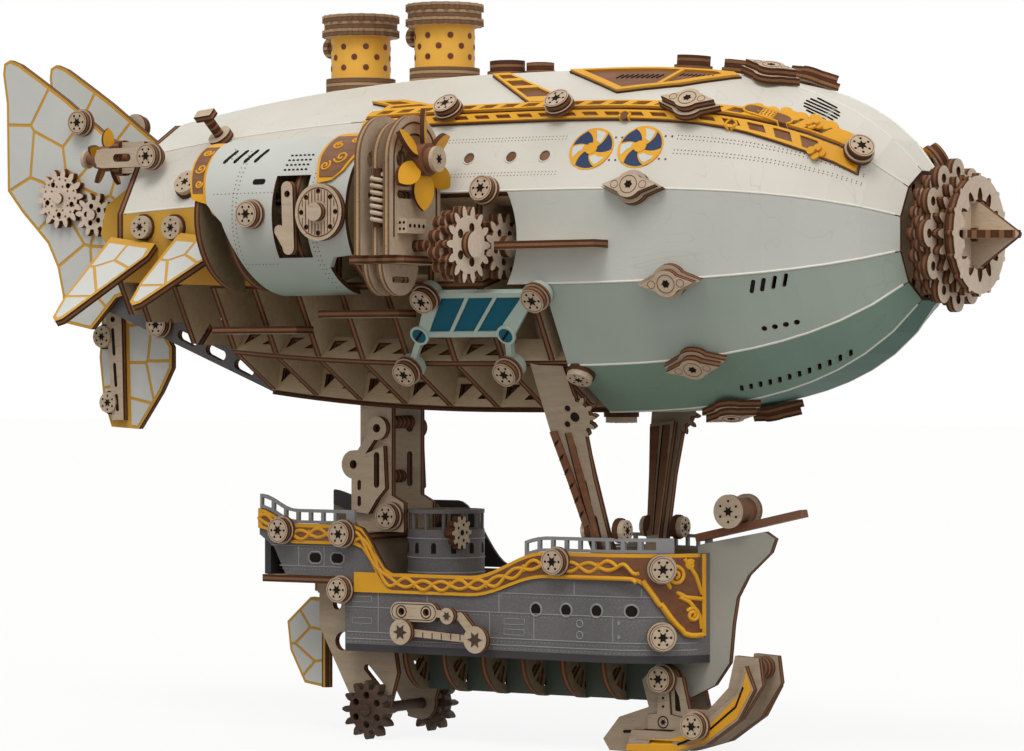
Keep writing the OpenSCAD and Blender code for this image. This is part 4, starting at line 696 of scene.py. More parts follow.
def chamfered(x, y, wide, tall, level, upright):
    """A box with cut corners, by its half sizes and by half its level and upright edges."""
    return [(x - wide, y - upright), (x - level, y - tall), (x + level, y - tall), (x + wide, y - upright),
            (x + wide, y + upright), (x + level, y + tall), (x - level, y + tall), (x - wide, y + upright)]


def capsule(x0, y0, x1, y1, w, n=6):
    """A bar with round ends between two points."""
    turn = math.atan2(y1 - y0, x1 - x0)
    ends = []
    for x, y, start in ((x1, y1, turn - math.pi / 2), (x0, y0, turn + math.pi / 2)):
        ends += [polar(x, y, w / 2, start + math.pi * i / n) for i in range(n + 1)]
    return ends


def blade(x, y, r0, r1, a0, a1, swirl, n=8):
    """A sector between two radii whose sides sweep round by swirl degrees."""
    def at(r, a):
        return polar(x, y, r, math.radians(a + swirl * (r - r0) / (r1 - r0)))
    radii = [r0 + (r1 - r0) * i / n for i in range(n + 1)]
    rim = [at(r1, a0 + (a1 - a0) * i / n) for i in range(1, n)]
    return [at(r, a0) for r in radii] + rim + [at(r, a1) for r in reversed(radii)]


def spiral(x, y, r, turns, start, hand=1, n=40):
    """A scroll that winds in from radius r."""
    return [polar(x, y, r * (1 - 0.85 * i / n), math.radians(start) + hand * math.tau * turns * i / n)
            for i in range(n + 1)]


def stretch(points, step):
    """A path with more points, none farther apart than step."""
    out = [points[0]]
    for (x0, y0), (x1, y1) in zip(points, points[1:]):
        n = max(1, math.ceil(math.hypot(x1 - x0, y1 - y0) / step))
        out += [(x0 + (x1 - x0) * i / n, y0 + (y1 - y0) * i / n) for i in range(1, n + 1)]
    return out


def shrunk(outline, gap):
    """An outline drawn in by gap."""
    n = len(outline)
    area = sum(outline[i - 1][0] * outline[i][1] - outline[i][0] * outline[i - 1][1] for i in range(n))
    ring = [Vector(p) for p in (outline if area > 0 else outline[::-1])]
    out = []
    for i in range(n):
        a, b = (ring[i] - ring[i - 1]).normalized(), (ring[(i + 1) % n] - ring[i]).normalized()
        inward = Vector((-a.y - b.y, a.x + b.x))
        out.append(tuple(ring[i] + inward * gap / max(0.35, 1 + a.dot(b))))
    return out


def clipped(outline, spot, way):
    """The part of an outline behind the line through spot that faces way."""
    out = []
    for p, q in zip(outline[-1:] + outline[:-1], outline):
        dp, dq = ((e[0] - spot[0]) * way[0] + (e[1] - spot[1]) * way[1] for e in (p, q))
        if dp * dq < 0:
            t = dp / (dp - dq)
            out.append((p[0] + (q[0] - p[0]) * t, p[1] + (q[1] - p[1]) * t))
        if dq <= 0:
            out.append(q)
    return out


def cells(outline, seeds, gap):
    """An outline parted between seeds, with a gap along its rim and between neighbours."""
    parted = []
    for sx, sy in seeds:
        cell = shrunk(outline, gap)
        for tx, ty in seeds:
            length = math.hypot(tx - sx, ty - sy)
            if length > 0:
                way = ((tx - sx) / length, (ty - sy) / length)
                cell = clipped(cell, ((sx + tx - way[0] * gap) / 2, (sy + ty - way[1] * gap) / 2), way)
        if len(cell) > 2:
            parted.append(cell)
    return parted


# Geometry node trees for what repeats and what follows a path

def new_geometry_tree(name, sides):
    tree = bpy.data.node_groups.new(name, "GeometryNodeTree")
    for label, kind in (("Geometry", "Geometry"), ("Sides", "Int"), ("Finish", "Material")):
        socket = tree.interface.new_socket(label, in_out="INPUT", socket_type="NodeSocket" + kind)
        if label == "Sides":
            socket.default_value = sides
    tree.interface.new_socket("Geometry", in_out="OUTPUT", socket_type="NodeSocketGeometry")
    return tree, tree.nodes.new("NodeGroupInput").outputs


def carried(tree, name, kind):
    """The values that the points carry under that name."""
    return add(tree, "GeometryNodeInputNamedAttribute", {"Name": name}, data_type=kind).outputs[0]


def close_tree(tree, shape, ends):
    real = add(tree, "GeometryNodeRealizeInstances", {0: shape})
    done = add(tree, "GeometryNodeSetMaterial", {"Geometry": real.outputs[0], "Material": ends["Finish"]})
    add(tree, "NodeGroupOutput", {0: done.outputs[0]})
    return tree


def build_stud_tree():
    """A short round stud on every point, turned and sized as the point says."""
    tree, ends = new_geometry_tree("studs_on_points", 14)
    stud = add(tree, "GeometryNodeMeshCylinder", {"Vertices": ends["Sides"], "Radius": 1.0, "Depth": 1.0})
    facing = carried(tree, "facing", "FLOAT_VECTOR")
    turned = add(tree, "FunctionNodeAlignRotationToVector", {"Vector": facing}, axis="Z")
    points = add(tree, "GeometryNodeMeshToPoints", {"Mesh": ends["Geometry"]})
    placed = add(tree, "GeometryNodeInstanceOnPoints", {
        "Points": points.outputs[0], "Instance": stud.outputs["Mesh"], "Rotation": turned.outputs[0],
        "Scale": carried(tree, "size", "FLOAT_VECTOR")})
    return close_tree(tree, placed.outputs[0], ends)


def build_line_tree():
    """A raised line along every path, as thick as its points say."""
    tree, ends = new_geometry_tree("lines_along_paths", 8)
    curve = add(tree, "GeometryNodeMeshToCurve", {"Mesh": ends["Geometry"]})
    profile = add(tree, "GeometryNodeCurvePrimitiveCircle", {"Resolution": ends["Sides"], "Radius": 1.0})
    tube = add(tree, "GeometryNodeCurveToMesh", {
        "Curve": curve.outputs[0], "Profile Curve": profile.outputs[0], "Fill Caps": True,
        "Scale": carried(tree, "girth", "FLOAT")})
    return close_tree(tree, tube.outputs[0], ends)


STUDS = build_stud_tree()
LINES = build_line_tree()


def run_tree(tree, points, edges, carries, finish):
    """The mesh that a geometry tree makes from points, edges and the values on the points."""
    mesh = bpy.data.meshes.new("draft")
    mesh.from_pydata(points, edges, [])
    for name, kind, values in carries:
        field = "vector" if kind == "FLOAT_VECTOR" else "value"
        made = mesh.attributes.new(name, kind, "POINT")
        made.data.foreach_set(field, np.asarray(values, dtype=np.float32).reshape(-1))
    draft = bpy.data.objects.new("draft", mesh)
    SCENE.collection.objects.link(draft)
    modifier = draft.modifiers.new("tree", "NODES")
    modifier.node_group = tree
    for item in tree.interface.items_tree:
        if item.in_out == "INPUT" and item.name == "Finish":
            modifier[item.identifier] = finish
    bpy.context.view_layer.update()
    grown = bpy.data.meshes.new_from_object(draft.evaluated_get(bpy.context.evaluated_depsgraph_get()))
    bpy.data.objects.remove(draft)
    bpy.data.meshes.remove(mesh)
    return grown


class Detail:
    """One named piece of one finish: thin plates, studs and raised lines that ride on one body."""

    started = []

    def __init__(self, name, finish, slot="stained_ply", body=HULL):
        self.name, self.finish, self.slot, self.body = name, finish, slot, body
        self.vertices, self.faces = [], []
        self.studs, self.facing, self.size = [], [], []
        self.points, self.edges, self.girth = [], [], []
        Detail.started.append(self)

    def plate(self, face, outline, low=-0.1, high=0.15, step=3.0):
        """A thin plate over an outline, from low to high over the face."""
        ring = stretch(list(outline) + [outline[0]], step)[:-1]
        n, first = len(ring), len(self.vertices)
        self.vertices += [face.spot(u, v, lift) for lift in (high, low) for u, v in ring]
        for a, b, c in tessellate_polygon([[Vector((u, v, 0)) for u, v in ring]]):
            self.faces += [(first + a, first + b, first + c), (first + n + c, first + n + b, first + n + a)]
        for i in range(n):
            j = (i + 1) % n
            self.faces.append((first + i, first + j, first + n + j, first + n + i))

    def ribbon(self, face, one, other, low=-0.1, high=0.15):
        """A thin band between two edges that have the same number of points."""
        first, n = len(self.vertices), len(one)
        for edge, lift in ((one, high), (other, high), (other, low), (one, low)):
            self.vertices += [face.spot(u, v, lift) for u, v in edge]
        for row in range(4):
            a, b = first + row * n, first + (row + 1) % 4 * n
            self.faces += [(a + i, a + i + 1, b + i + 1, b + i) for i in range(n - 1)]
        self.faces += [tuple(first + row * n + end for row in range(4)) for end in (0, n - 1)]

    def stud_at(self, spot, out, r, height):
        self.studs.append(spot)
        self.facing.append(tuple(out))
        self.size.append((r * MM, r * MM, height * MM))

    def dots(self, face, spots, r, height=0.2, lift=0.0):
        """A stud on each of the spots."""
        for u, v in spots:
            self.stud_at(face.spot(u, v, lift), face.out, r, height)

    def line_at(self, spots, r, closed=False):
        first, n = len(self.points), len(spots)
        self.points += spots
        self.edges += [(first + i, first + i + 1) for i in range(n - 1)]
        if closed:
            self.edges.append((first + n - 1, first))
        self.girth += [r * MM] * n

    def line(self, face, path, r, closed=False, lift=0.0, step=2.0):
        """A raised line over a face along a path."""
        ring = stretch(list(path) + ([path[0]] if closed else []), step)
        self.line_at([face.spot(u, v, lift) for u, v in (ring[:-1] if closed else ring)], r, closed)

    def ring(self, face, x, y, r, girth, n=24, lift=0.0, step=2.0):
        self.line(face, disc(x, y, r, n), girth, closed=True, lift=lift, step=step)

    def build(self):
        finish = FINISH[self.finish]
        grown = []
        if self.studs:
            carries = [("facing", "FLOAT_VECTOR", self.facing), ("size", "FLOAT_VECTOR", self.size)]
            grown.append(run_tree(STUDS, self.studs, [], carries, finish))
        if self.points:
            grown.append(run_tree(LINES, self.points, self.edges, [("girth", "FLOAT", self.girth)], finish))
        if self.faces:
            plates = bpy.data.meshes.new("plates")
            plates.from_pydata(self.vertices, [], self.faces)
            grown.append(plates)
        shape = bmesh.new()
        for mesh in grown:
            shape.from_mesh(mesh)
            bpy.data.meshes.remove(mesh)
        bmesh.ops.recalc_face_normals(shape, faces=shape.faces)
        done = bpy.data.meshes.new(self.name)
        shape.to_mesh(done)
        shape.free()
        done.materials.append(finish)
        # The joined meshes don't number their finishes alike, so all faces take the one here
        done.polygons.foreach_set("material_index", np.zeros(len(done.polygons), dtype=np.int32))
        piece = bpy.data.objects.new(self.name, done)
        SCENE.collection.objects.link(piece)
        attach(piece, self.body)


# Envelope

def half_width(face, x):
    """Half the width of a facet's skin at station x."""
    return (face.spot(x, 0) / MM - face.origin).dot(face.out) * math.tan(math.radians(FACET / 2))


def ridge_painted_highlights():
    """A pale line along each ridge, where one strip of veneer meets the next: painted highlight where the
    veneer's edge catches the light.
    """
    seams = Detail("ridge_painted_highlights", "ridge_highlight", "printed_white")
    aft, trim_aft, bay, trim_fore, fore = -95, -21, 48, 126, 134
    runs = ((0, aft, fore), (1, aft, trim_aft), (1, trim_fore, fore), (2, aft, fore), (3, bay, fore),
            (4, bay, fore), (5, bay, fore))
    for side in SIDES:
        for k, x0, x1 in runs:
            face = panel(k, side)
            xs = np.linspace(x0, x1, 60)
            seams.line_at([face.spot(x, 0.25 - half_width(face, x), -0.12) for x in xs], 0.34)


def envelope_print():
    """Dotted rivet rows, fan rosettes, portholes, the louvre and the burnt slots."""
    rivets = Detail("envelope_rivets", "stain", "printed_white")
    rims = Detail("porthole_rims", "cell_white", "printed_white")
    dark = Detail("envelope_openings", "soot_and_hole_shade")
    glass = Detail("porthole_covers", "stain")
    gold = Detail("rosette_frames", "gold", "printed_gold")
    navy = Detail("rosette_fields", "navy", "printed_white")
    white = Detail("rosette_blades", "cell_white", "printed_white")
    louvre_x, slot_pitch, porthole_y = 111.7, 2.55, -1.6
    for side in SIDES:
        upper, shoulder, lower, bilge = (panel(k, side) for k in (1, 2, 4, 5))
        for share in (0.40, 0.31, 0.02, -0.07):
            row = [(x, share * half_width(shoulder, x)) for x in range(82, 129, 3)]
            rivets.dots(shoulder, stretch(row, 1.05), 0.17, 0.12)
        for y in (4.3, 3.4, -6.4, -7.3):
            rivets.dots(shoulder, stretch([(10, y), (50, y)], 1.05), 0.15, 0.1)
        for x in (22.0, 35.0, 45.2):
            aft, fore = (shoulder.spot(x + dx, porthole_y, -0.4) for dx in (-3, 3))
            glass.stud_at((aft + fore) / 2, shoulder.out, 1.9, 0.4)
            rims.ring(shoulder, x, porthole_y, 1.75, 0.22)
        for x, y in ((58.6, 0.2), (72.5, 0.8)):
            gold.plate(shoulder, disc(x, y, 6.3, 36), high=0.12)
            navy.plate(shoulder, disc(x, y, 5.8, 36), high=0.2)
            for turn in (20, 140, 260):
                gold.plate(shoulder, blade(x, y, 1.2, 6.2, turn, turn + 64, 34), high=0.3)
                white.plate(shoulder, blade(x, y, 2.6, 5.4, turn + 16, turn + 50, 20), high=0.4)
            gold.plate(shoulder, disc(x, y, 1.7), high=0.42)
            rivets.dots(shoulder, [(x + 7 + dx, y + dy) for dx in (-0.9, 0.9) for dy in (3.4, -3.4)], 0.3)
        for i in range(6):
            y = 0.5 + i * 1.36
            half = 4.3 * math.sqrt(1 - ((y - 3.9) / 4.2) ** 2)
            slat = capsule(louvre_x - half, y + 0.6, louvre_x + half, y - 0.6, 0.66)
            dark.plate(upper, slat, high=0.12, step=1.5)
        for i in range(4):
            x = 103.6 + slot_pitch * i
            dark.plate(lower, capsule(x, 5.4, x + 1, 8.0, 1.0), low=-0.4, high=0.06)
            dark.dots(lower, [(x + 0.5, -5.3)], 0.8, 0.16)
        for i in range(12):
            x = 89.6 + slot_pitch * i
            dark.plate(bilge, capsule(x, -5.8, x + 0.6, -4.2, 0.95), low=-0.4, high=0.06)


def solid_tops(name):
    """The middle of the outer face of each capped solid of a node, and the way that face looks."""
    points, faces, normals, areas = node_arrays(name)
    solid = solids_of(points, faces)
    tops = []
    for number in np.unique(solid):
        own = solid == number
        corners = points[np.unique(faces[own])]
        middle = (corners.min(axis=0) + corners.max(axis=0)) / 2
        way = main_normal(normals[own], areas[own])
        centre_z = AXIS_Z * MM if middle[2] > GONDOLA_TOP * MM else middle[2]
        if way @ (middle - np.array([middle[0], 0, centre_z])) < 0:
            way = -way
        along = corners @ way
        rim = corners[along > along.max() - 1e-5]
        tops.append((Vector((rim.min(axis=0) + rim.max(axis=0)) / 2), Vector(way)))
    return tops


def cap_faces():
    """Star-shaped sockets and an engraved ring on every bolt cap and ridge boss."""
    dark = Detail("cap_sockets", "soot_and_hole_shade")
    rings = Detail("cap_rings", "stain", "ply")
    for name, tip, waist, r, girth, eyes in (("bolt_caps", 1.5, 0.75, 3.0, 0.09, ()),
                                             ("ridge_bosses", 1.2, 0.7, 2.3, 0.12, (-3.9, 3.9))):
        for spot, way in solid_tops(name):
            face = top_face(spot, way)
            dark.plate(face, star(0, 0, tip, waist), low=-0.05, high=0.08)
            rings.ring(face, 0, 0, r, girth, n=30)
            for x in eyes:
                rings.ring(face, x, 0, 1.0, 0.09, n=16)


def chimney_holes():
    """The scorched rims of the holes round each chimney."""
    scorch = Detail("chimney_holes", "scorch")
    for x, base in FLUES:
        for row in range(3):
            for i in range(8):
                turn = math.radians(45 * i + 22.5 * row)
                way = Vector((math.cos(turn), math.sin(turn), 0))
                scorch.stud_at((Vector((x, 0, base + 11.5 * (row + 1) / 4)) + way * 8.2) * MM, way, 0.85, 0.2)


def trim_print():
    """Gold rings, ladders and the dotted grille laid over the brown of the ridge trim."""
    fret_top = 1.35
    hatch = Detail("dorsal_hatch", "soot_and_hole_shade")
    gold = Detail("trim_scrolls", "gold", "printed_gold")
    dots = Detail("trim_dots", "stain")
    fret = Skin("trim_fret", "trim_base")
    for side in SIDES:
        upper, shoulder = facet(1, side, fret), facet(2, side, fret)
        above, below = panel(1, side), panel(2, side)
        y = 2.9 - half_width(above, 103)
        ends = (98.4, y + 0.4, 107.4, y - 0.5)
        dots.plate(above, capsule(*ends, 3.6), low=0.4, high=fret_top + 0.1, step=1.0)
        gold.line(above, capsule(*ends, 3.9), 0.3, closed=True, lift=fret_top + 0.05, step=1.0)
        gold.plate(above, [(101.2, y - 1.5), (104.8, y - 1.7), (104.8, y + 1.3), (101.2, y + 1.5)], low=0.4,
                   high=fret_top + 0.25)
        grid = [(101.7 + i * 0.9, y - 0.95 + j * 0.85) for i in range(4) for j in range(3)]
        dots.dots(above, grid, 0.24, lift=fret_top + 0.25)
        for face, x, across in ((above, 114.0, 3.4 - half_width(above, 114)),
                                (below, 117.0, half_width(below, 117) - 4.2)):
            gold.dots(face, disc(x, across, 1.2, 4), 1.1, 0.5, lift=fret_top)
            dots.dots(face, [(x, across)], 0.45, 0.3, lift=fret_top + 0.3)
        for x in (66.0, 95.3):
            across = half_width(below, x) - 2.4
            gold.ring(shoulder, x, across, 1.35, 0.36, lift=0.2, step=0.6)
            dots.dots(shoulder, [(x, across)], 1.2, 0.5)
        for i in range(9):
            hatch.line(upper, [(53.4 + 1.5 * i, 5.4), (54.6 + 1.5 * i, 7.4)], 0.26)
            hatch.line(upper, [(71.4 + 1.2 * i, 7.0), (72.2 + 1.2 * i, 8.2)], 0.2)


# Nacelles and engines

# Scroll fields on the engine covers: the roll's radius, the heights from low to high,
# the rear and front edge at a height, and each scroll's place, radius, start and hand
SCROLL_FIELDS = (
    (21.75, np.arange(150.2, 161.4, 0.8),
     (lambda z: -12.1 - max(0, z - 156) / 14 + max(0, 156 - z) * 0.35,
      lambda z: min(-1.9, -3.9 + (z - 152) * 0.455, -6.8 + (z - 149.4) * 1.15)),
     ((-5.4, 155.4, 2.1, 200, 1), (-9.3, 153.2, 1.6, 60, -1), (-8.6, 158.6, 1.7, 90, 1),
      (-4.4, 160.0, 1.4, 300, -1))),
    (20.45, np.arange(147.0, 159.9, 0.8),
     (lambda z: -50.9 - (z - 145.4) * 0.37 + max(0, z - 153) * 0.1,
      lambda z: -47.3 - (z - 144) * 0.278 + max(0, z - 153) * 0.07),
     ((-52.4, 158.0, 1.6, 20, -1), (-51.2, 153.6, 1.6, 200, 1), (-50.0, 149.4, 1.2, 20, -1))),
)
GRILLE_X = -8
COVER_Y = 63
GRILLE_Y = 64


def nacelle_print():
    """Dotted seams, the mesh patch, the vents and the scrolls of the engine covers."""
    dots = Detail("nacelle_rivets", "stain", "printed_white")
    dark = Detail("nacelle_openings", "soot_and_hole_shade")
    fields = Detail("nacelle_scroll_fields", "stain")
    scrolls = Detail("nacelle_scrolls", "gold", "printed_gold")
    grille = Detail("grille_slats", "stain", "ply")
    cover, fittings = Skin("nacelle_covers"), Skin("nacelle_fittings")
    grille_z = NACELLE_AXIS[1]
    for side in SIDES:
        face = flank(COVER_Y, side, cover)
        for x, low in ((-37.4, 131), (-36.2, 127), (-12.2, 122), (-11.0, 122)):
            dots.dots(face, stretch([(x, low), (x, 158)], 1.15), 0.17, 0.14)
        for x0, x1, z in ((-44, -16, 146.6), (-35.2, -26, 128)):
            dots.dots(face, stretch([(x0, z), (x1, z)], 1.3), 0.15, 0.14)
        mesh_patch = [(-22.6 + 1.35 * i, 152.4 + 1.3 * j) for i in range(6) for j in range(4)]
        dark.dots(face, mesh_patch, 0.42, 0.14)
        for i in range(4):
            x = -44 + 3.4 * i
            dark.plate(face, capsule(x, 155.5, x + 1.4, 158, 1.3), low=-0.5, high=0.06)
        dark.plate(face, capsule(-31.2, 149.6, -28.6, 149.6, 1.5), high=0.08)
        for radius, heights, edges, curls in SCROLL_FIELDS:
            gilt = Roll(*NACELLE_AXIS, radius, side)
            rear, front = ([(edge(z), gilt.round_to(z)) for z in heights] for edge in edges)
            fields.ribbon(gilt, rear, front, high=0.1)
            for x, z, r, start, hand in curls:
                scrolls.line(gilt, spiral(x, gilt.round_to(z), r, 1.4, start, hand), 0.3, lift=0.15, step=0.5)
        boss = flank(GRILLE_Y, side, fittings)
        for u in range(-5, 6):
            half, hub = (math.sqrt(max(0.0, r * r - u * u)) for r in (5.9, 3.0))
            for way in (-1, 1):
                slat = sorted((grille_z + way * half, grille_z + way * hub))
                grille.line(boss, [(GRILLE_X + u, z) for z in slat], 0.14)
        grille.ring(boss, GRILLE_X, grille_z, 6.3, 0.16, n=40)


def engine_fittings():
    """The arches' grooves, the coil and the drilled block on each engine."""
    coils = Detail("engine_coils", "birch", "ply")
    cores = Detail("engine_coil_cores", "edge")
    holes = Detail("engine_block_holes", "soot_and_hole_shade")
    arches = Detail("engine_arch_grooves", "edge")
    arch_r, groove_r = 9.6, 6.6
    block_y, block_half, block_depth = 61.5, 4.6, 3.0
    coil_x, coil_y, coil_r, turns, low, high = 13.2, 68.6, 1.5, 7, 138.0, 150.0
    rise = (high - low) / (math.tau * turns)
    for side in SIDES:
        front = head_on(17.5, side * PROPELLER[0], PROPELLER[1])
        outer, inner = ([polar(0, 0, r, a) for a in np.linspace(0, math.pi, 25)] for r in (arch_r, groove_r))
        arches.line(front, [(arch_r, -20.0)] + outer + [(-arch_r, -20.0)], 0.26)
        arches.line(front, inner, 0.26)
        path = []
        for a in np.linspace(0, math.tau * turns, 16 * turns):
            x, y = polar(coil_x, coil_y, coil_r, a)
            path.append(Vector((x, side * y, low + rise * a)) * MM)
        coils.line_at(path, 0.55)
        cores.line_at([Vector((coil_x, side * coil_y, z)) * MM for z in (low - 1.5, high + 1.5)], 1.1)
        face = head_on(17.4, side * block_y, 136.9)
        coils.plate(face, box(-block_half, -1.9, block_half, 1.9), low=-0.4, high=block_depth)
        holes.dots(face, [(y, 0.0) for y in (-3, -1, 1, 3)], 0.5, lift=block_depth)
        end = flank(block_y + block_half, side)
        holes.dots(end, [(x, z) for x in (18.4, 19.6) for z in (136.1, 137.7)], 0.36)


def hub_caps():
    """Birch caps with star sockets on the propeller hubs."""
    for side, end in SIDES.items():
        for name, (y, z), r, way in (("propeller_", PROPELLER, 3.3, 1),
                                     ("tail_propeller_", TAIL_PROPELLER, 2.6, -1)):
            body = name + end
            face = head_on(node_box(body)[way > 0][0], side * y, z, way)
            cap = Detail(body + "_cap", "birch", "ply", body=body)
            cap.plate(face, disc(0, 0, r), low=-0.2, high=0.9)
            socket = Detail(body + "_socket", "soot_and_hole_shade", body=body)
            socket.plate(face, star(0, 0, 1.4, 0.7), low=0.8, high=1.0)


def window_rings():
    """The valve rings on the window's sill."""
    rings = Detail("sill_rings", "mint", "printed_mint")
    panes = Detail("sill_panes", "teal", "printed_teal")
    slots = Detail("sill_slots", "soot_and_hole_shade")
    for side in SIDES:
        face = facet(4, side)
        own = [Vector(p) / MM for p in node_arrays("window_frames")[0] if p[1] * side > 0]
        height = max((p - face.origin).dot(face.out) for p in own)
        for x in (6.8, 33.8):
            flat = Face(face.spot(x, -1.3, height) / MM, face.along, face.up, face.out)
            rings.plate(flat, disc(0, 0, 2.7), low=-0.3, high=0.5)
            panes.plate(flat, disc(0, 0, 2.0), low=0.3, high=0.6)
            slots.plate(flat, capsule(-1.1, -1.1, 1.1, 1.1, 0.7), low=0.4, high=0.72)


# Tail

FIN = [(-98.4, 150), (-112, 161), (-124, 169.3), (-136.5, 178.3), (-146, 184.4), (-153.7, 189.2),
       (-157.4, 190.6), (-159.6, 189.6), (-160, 186.6), (-158.6, 178), (-158.2, 152.5), (-152.6, 146),
       (-143.2, 137), (-139.5, 130), (-137.6, 122), (-137, 114), (-127, 112), (-118, 121), (-98.4, 126)]
FIN_SEEDS = [(-153, 181), (-139, 172), (-154, 162), (-144, 161), (-130, 163), (-148, 149), (-137, 150),
             (-124, 156), (-139, 138), (-128, 146), (-132, 127), (-131, 117), (-120, 143), (-113, 152),
             (-121, 128), (-110, 138), (-103, 146), (-104, 131)]
VENTRAL = [([(-131, 122), (-132.5, 104), (-131, 92), (-128, 84), (-126.4, 84), (-129.4, 122)],
            [(-130, 116), (-130, 101), (-128, 90)]),
           ([(-122.6, 122.5), (-121.4, 83.8), (-118, 83.4), (-110, 94), (-106, 101), (-106, 107), (-113, 117),
             (-121, 124)],
            [(-120, 87), (-118, 97), (-110, 99), (-118, 108), (-110, 107), (-119, 119)])]
RUDDER = [(-52, 36.6), (-57, 37), (-65, 30), (-64, 22), (-59, 13), (-52, 12)]
RUDDER_SEEDS = [(-56, 33), (-61.5, 29), (-57, 24), (-60.5, 19), (-55.5, 14)]
PLANE_TIP = [(-10.2, 74.4), (-9.4, 81.8), (-7.6, 83.2), (-5.7, 82.2)]
PLANES = [(-90.4, 169.0, [(8.2, 53.4), (-8.4, 50.4), *PLANE_TIP, (8.4, 58)],
           [(3, 56), (-5, 55), (-1, 64), (-7, 68), (-7, 79)]),
          (-63.6, 173.0, [(8.2, 58.4), (-8.4, 56.4), *PLANE_TIP, (8.4, 62.6)],
           [(3, 61), (-5, 60), (-1, 68), (-7, 71), (-7, 80)])]
DROOP = math.radians(43)
FIN_FACES = (11.5, 9.5)
POST_Y = 3.0
TAIL_GEAR_Y = 13.9


def tail_cells():
    """White printed cells, parted by gold lines, on the fins, planes and rudder, and the fin post's slots."""
    white = Detail("tail_cells", "cell_white", "printed_white")
    swung = Detail("rudder_cells", "cell_white", "printed_white", body="rudder")
    slots = Detail("ventral_post_slots", "soot_and_hole_shade")
    skin = Skin("tail_planes")
    for side in SIDES:
        sheets = [(white, flank(y, side), FIN, FIN_SEEDS, 0.95) for y in FIN_FACES]
        sheets += [(white, flank(PLY / 2, side), outline, seeds, 0.9) for outline, seeds in VENTRAL]
        sheets.append((swung, flank(PLY / 2, side), RUDDER, RUDDER_SEEDS, 0.8))
        down = (0, side * math.cos(DROOP), -math.sin(DROOP))
        out = (0, side * math.sin(DROOP), math.cos(DROOP))
        for x, z, outline, seeds in PLANES:
            sheets.append((white, Face((x, 0, z), (1, 0, 0), down, out, skin), outline, seeds, 0.9))
        for detail, face, outline, seeds, gap in sheets:
            for cell in cells(outline, seeds, gap):
                detail.plate(face, cell, low=-0.08, high=0.12)
        for ends in ((-126.0, 112, -125.5, 105), (-125.3, 102, -124.8, 96), (-124.6, 93, -124.2, 89)):
            slots.plate(flank(POST_Y, side), capsule(*ends, 1.0), high=0.06)


def tail_gear_dots():
    """Two rings of dots on each tail gear."""
    for side, end in SIDES.items():
        body = "tail_gear_" + end
        dots = Detail("tail_gear_dots_" + end, "stain", body=body)
        face = flank(TAIL_GEAR_Y, side, Skin(body))
        for r, n in ((5.6, 16), (3.6, 10)):
            dots.dots(face, disc(*TAIL_GEAR, r, n), 0.32, 0.16)


# Gondola

def ramp(x, a, b):
    """A smooth rise from 0 at a to 1 at b."""
    return 0.0 if x < a else 1.0 if x > b else (1 - math.cos(math.pi * (x - a) / (b - a))) / 2


def sheer(x):
    """Upper edge of the gondola's side at station x."""
    return 58.2 + 4 * (1 - ramp(x, -62, -50)) - 12.7 * ramp(x, -29, -17) + 7.0 * ramp(x, 8, 32)


def band_low(x):
    """Lower edge of the gold band at station x."""
    return sheer(x) - 5.4 - 15 * ramp(x, 58, 70) - 1.5 * ramp(x, 8, 32)


def band_middle(x):
    return (sheer(x) + band_low(x)) / 2


def hull_print():
    """Plank lines, rivets, port rings and plates drawn pale on the gondola's sides."""
    pale = Detail("hull_plank_lines", "slate_line", "printed_slate")
    rivets = Detail("hull_rivets", "slate_line", "printed_slate")
    dark = Detail("hull_ports", "soot_and_hole_shade")
    boards = Skin("hull_sides")
    # Plank lines by their ends and height, with the station where their rivets start
    planks = [(-32.4, 70, z, -32) for z in (41.2, 36.0, 29.2, 27.4)]
    planks += [(-58, -34, 52.2, -54), (-55, -34, 46.6, -54)]
    joints = ((40.5, 41.2, 44.8), (59.4, 41.2, 43.5), (28, 29.2, 36), (52.1, 29.2, 36), (65.8, 29.2, 36),
              (-22, 29.2, 41.2), (17, 36, 41.2), (14, 29.2, 36), (-6, 36, 41.2), (-40, 46.6, 52.2),
              (-48.6, 46.6, 52.2))
    for side in SIDES:
        face = flank(HULL_Y, side, boards)
        for x0, x1, z, start in planks:
            pale.line(face, [(x0, z), (x1, z)], 0.17)
            rivets.dots(face, stretch([(start, z - 0.8), (x1, z - 0.8)], 1.25), 0.13, 0.12)
        for x, z0, z1 in joints:
            pale.line(face, [(x, z0), (x, z1)], 0.17)
        for z in (33.9, 30.9):
            pale.ring(face, 42.2, z, 0.95, 0.2, step=0.6)
        pale.dots(face, [(x, z) for x in (53.8, 64.0) for z in (34.4, 30.8)], 0.5)
        for x, z in ((18.6, 33.0), (18.6, 30.2), (-30.6, 37.4), (-30.6, 31.6)):
            pale.line(face, box(x, z, x + 6.4, z + 1.5), 0.13, closed=True)
        for x, z in ((28.6, 37.2), (38, 37.3), (47.4, 37.4), (57, 37.5)):
            pale.ring(face, x, z, 1.75, 0.28, step=0.6)
            dark.plate(face, disc(x, z, 1.45), low=-0.5, high=0.08)
        for x in (-43, -35.6):
            pale.line(face, chamfered(x, 49, 2.2, 1.6, 1.3, 0.7), 0.26, closed=True)
            dark.plate(face, chamfered(x, 49, 1.8, 1.2, 1.1, 0.6), low=-0.4, high=0.1)


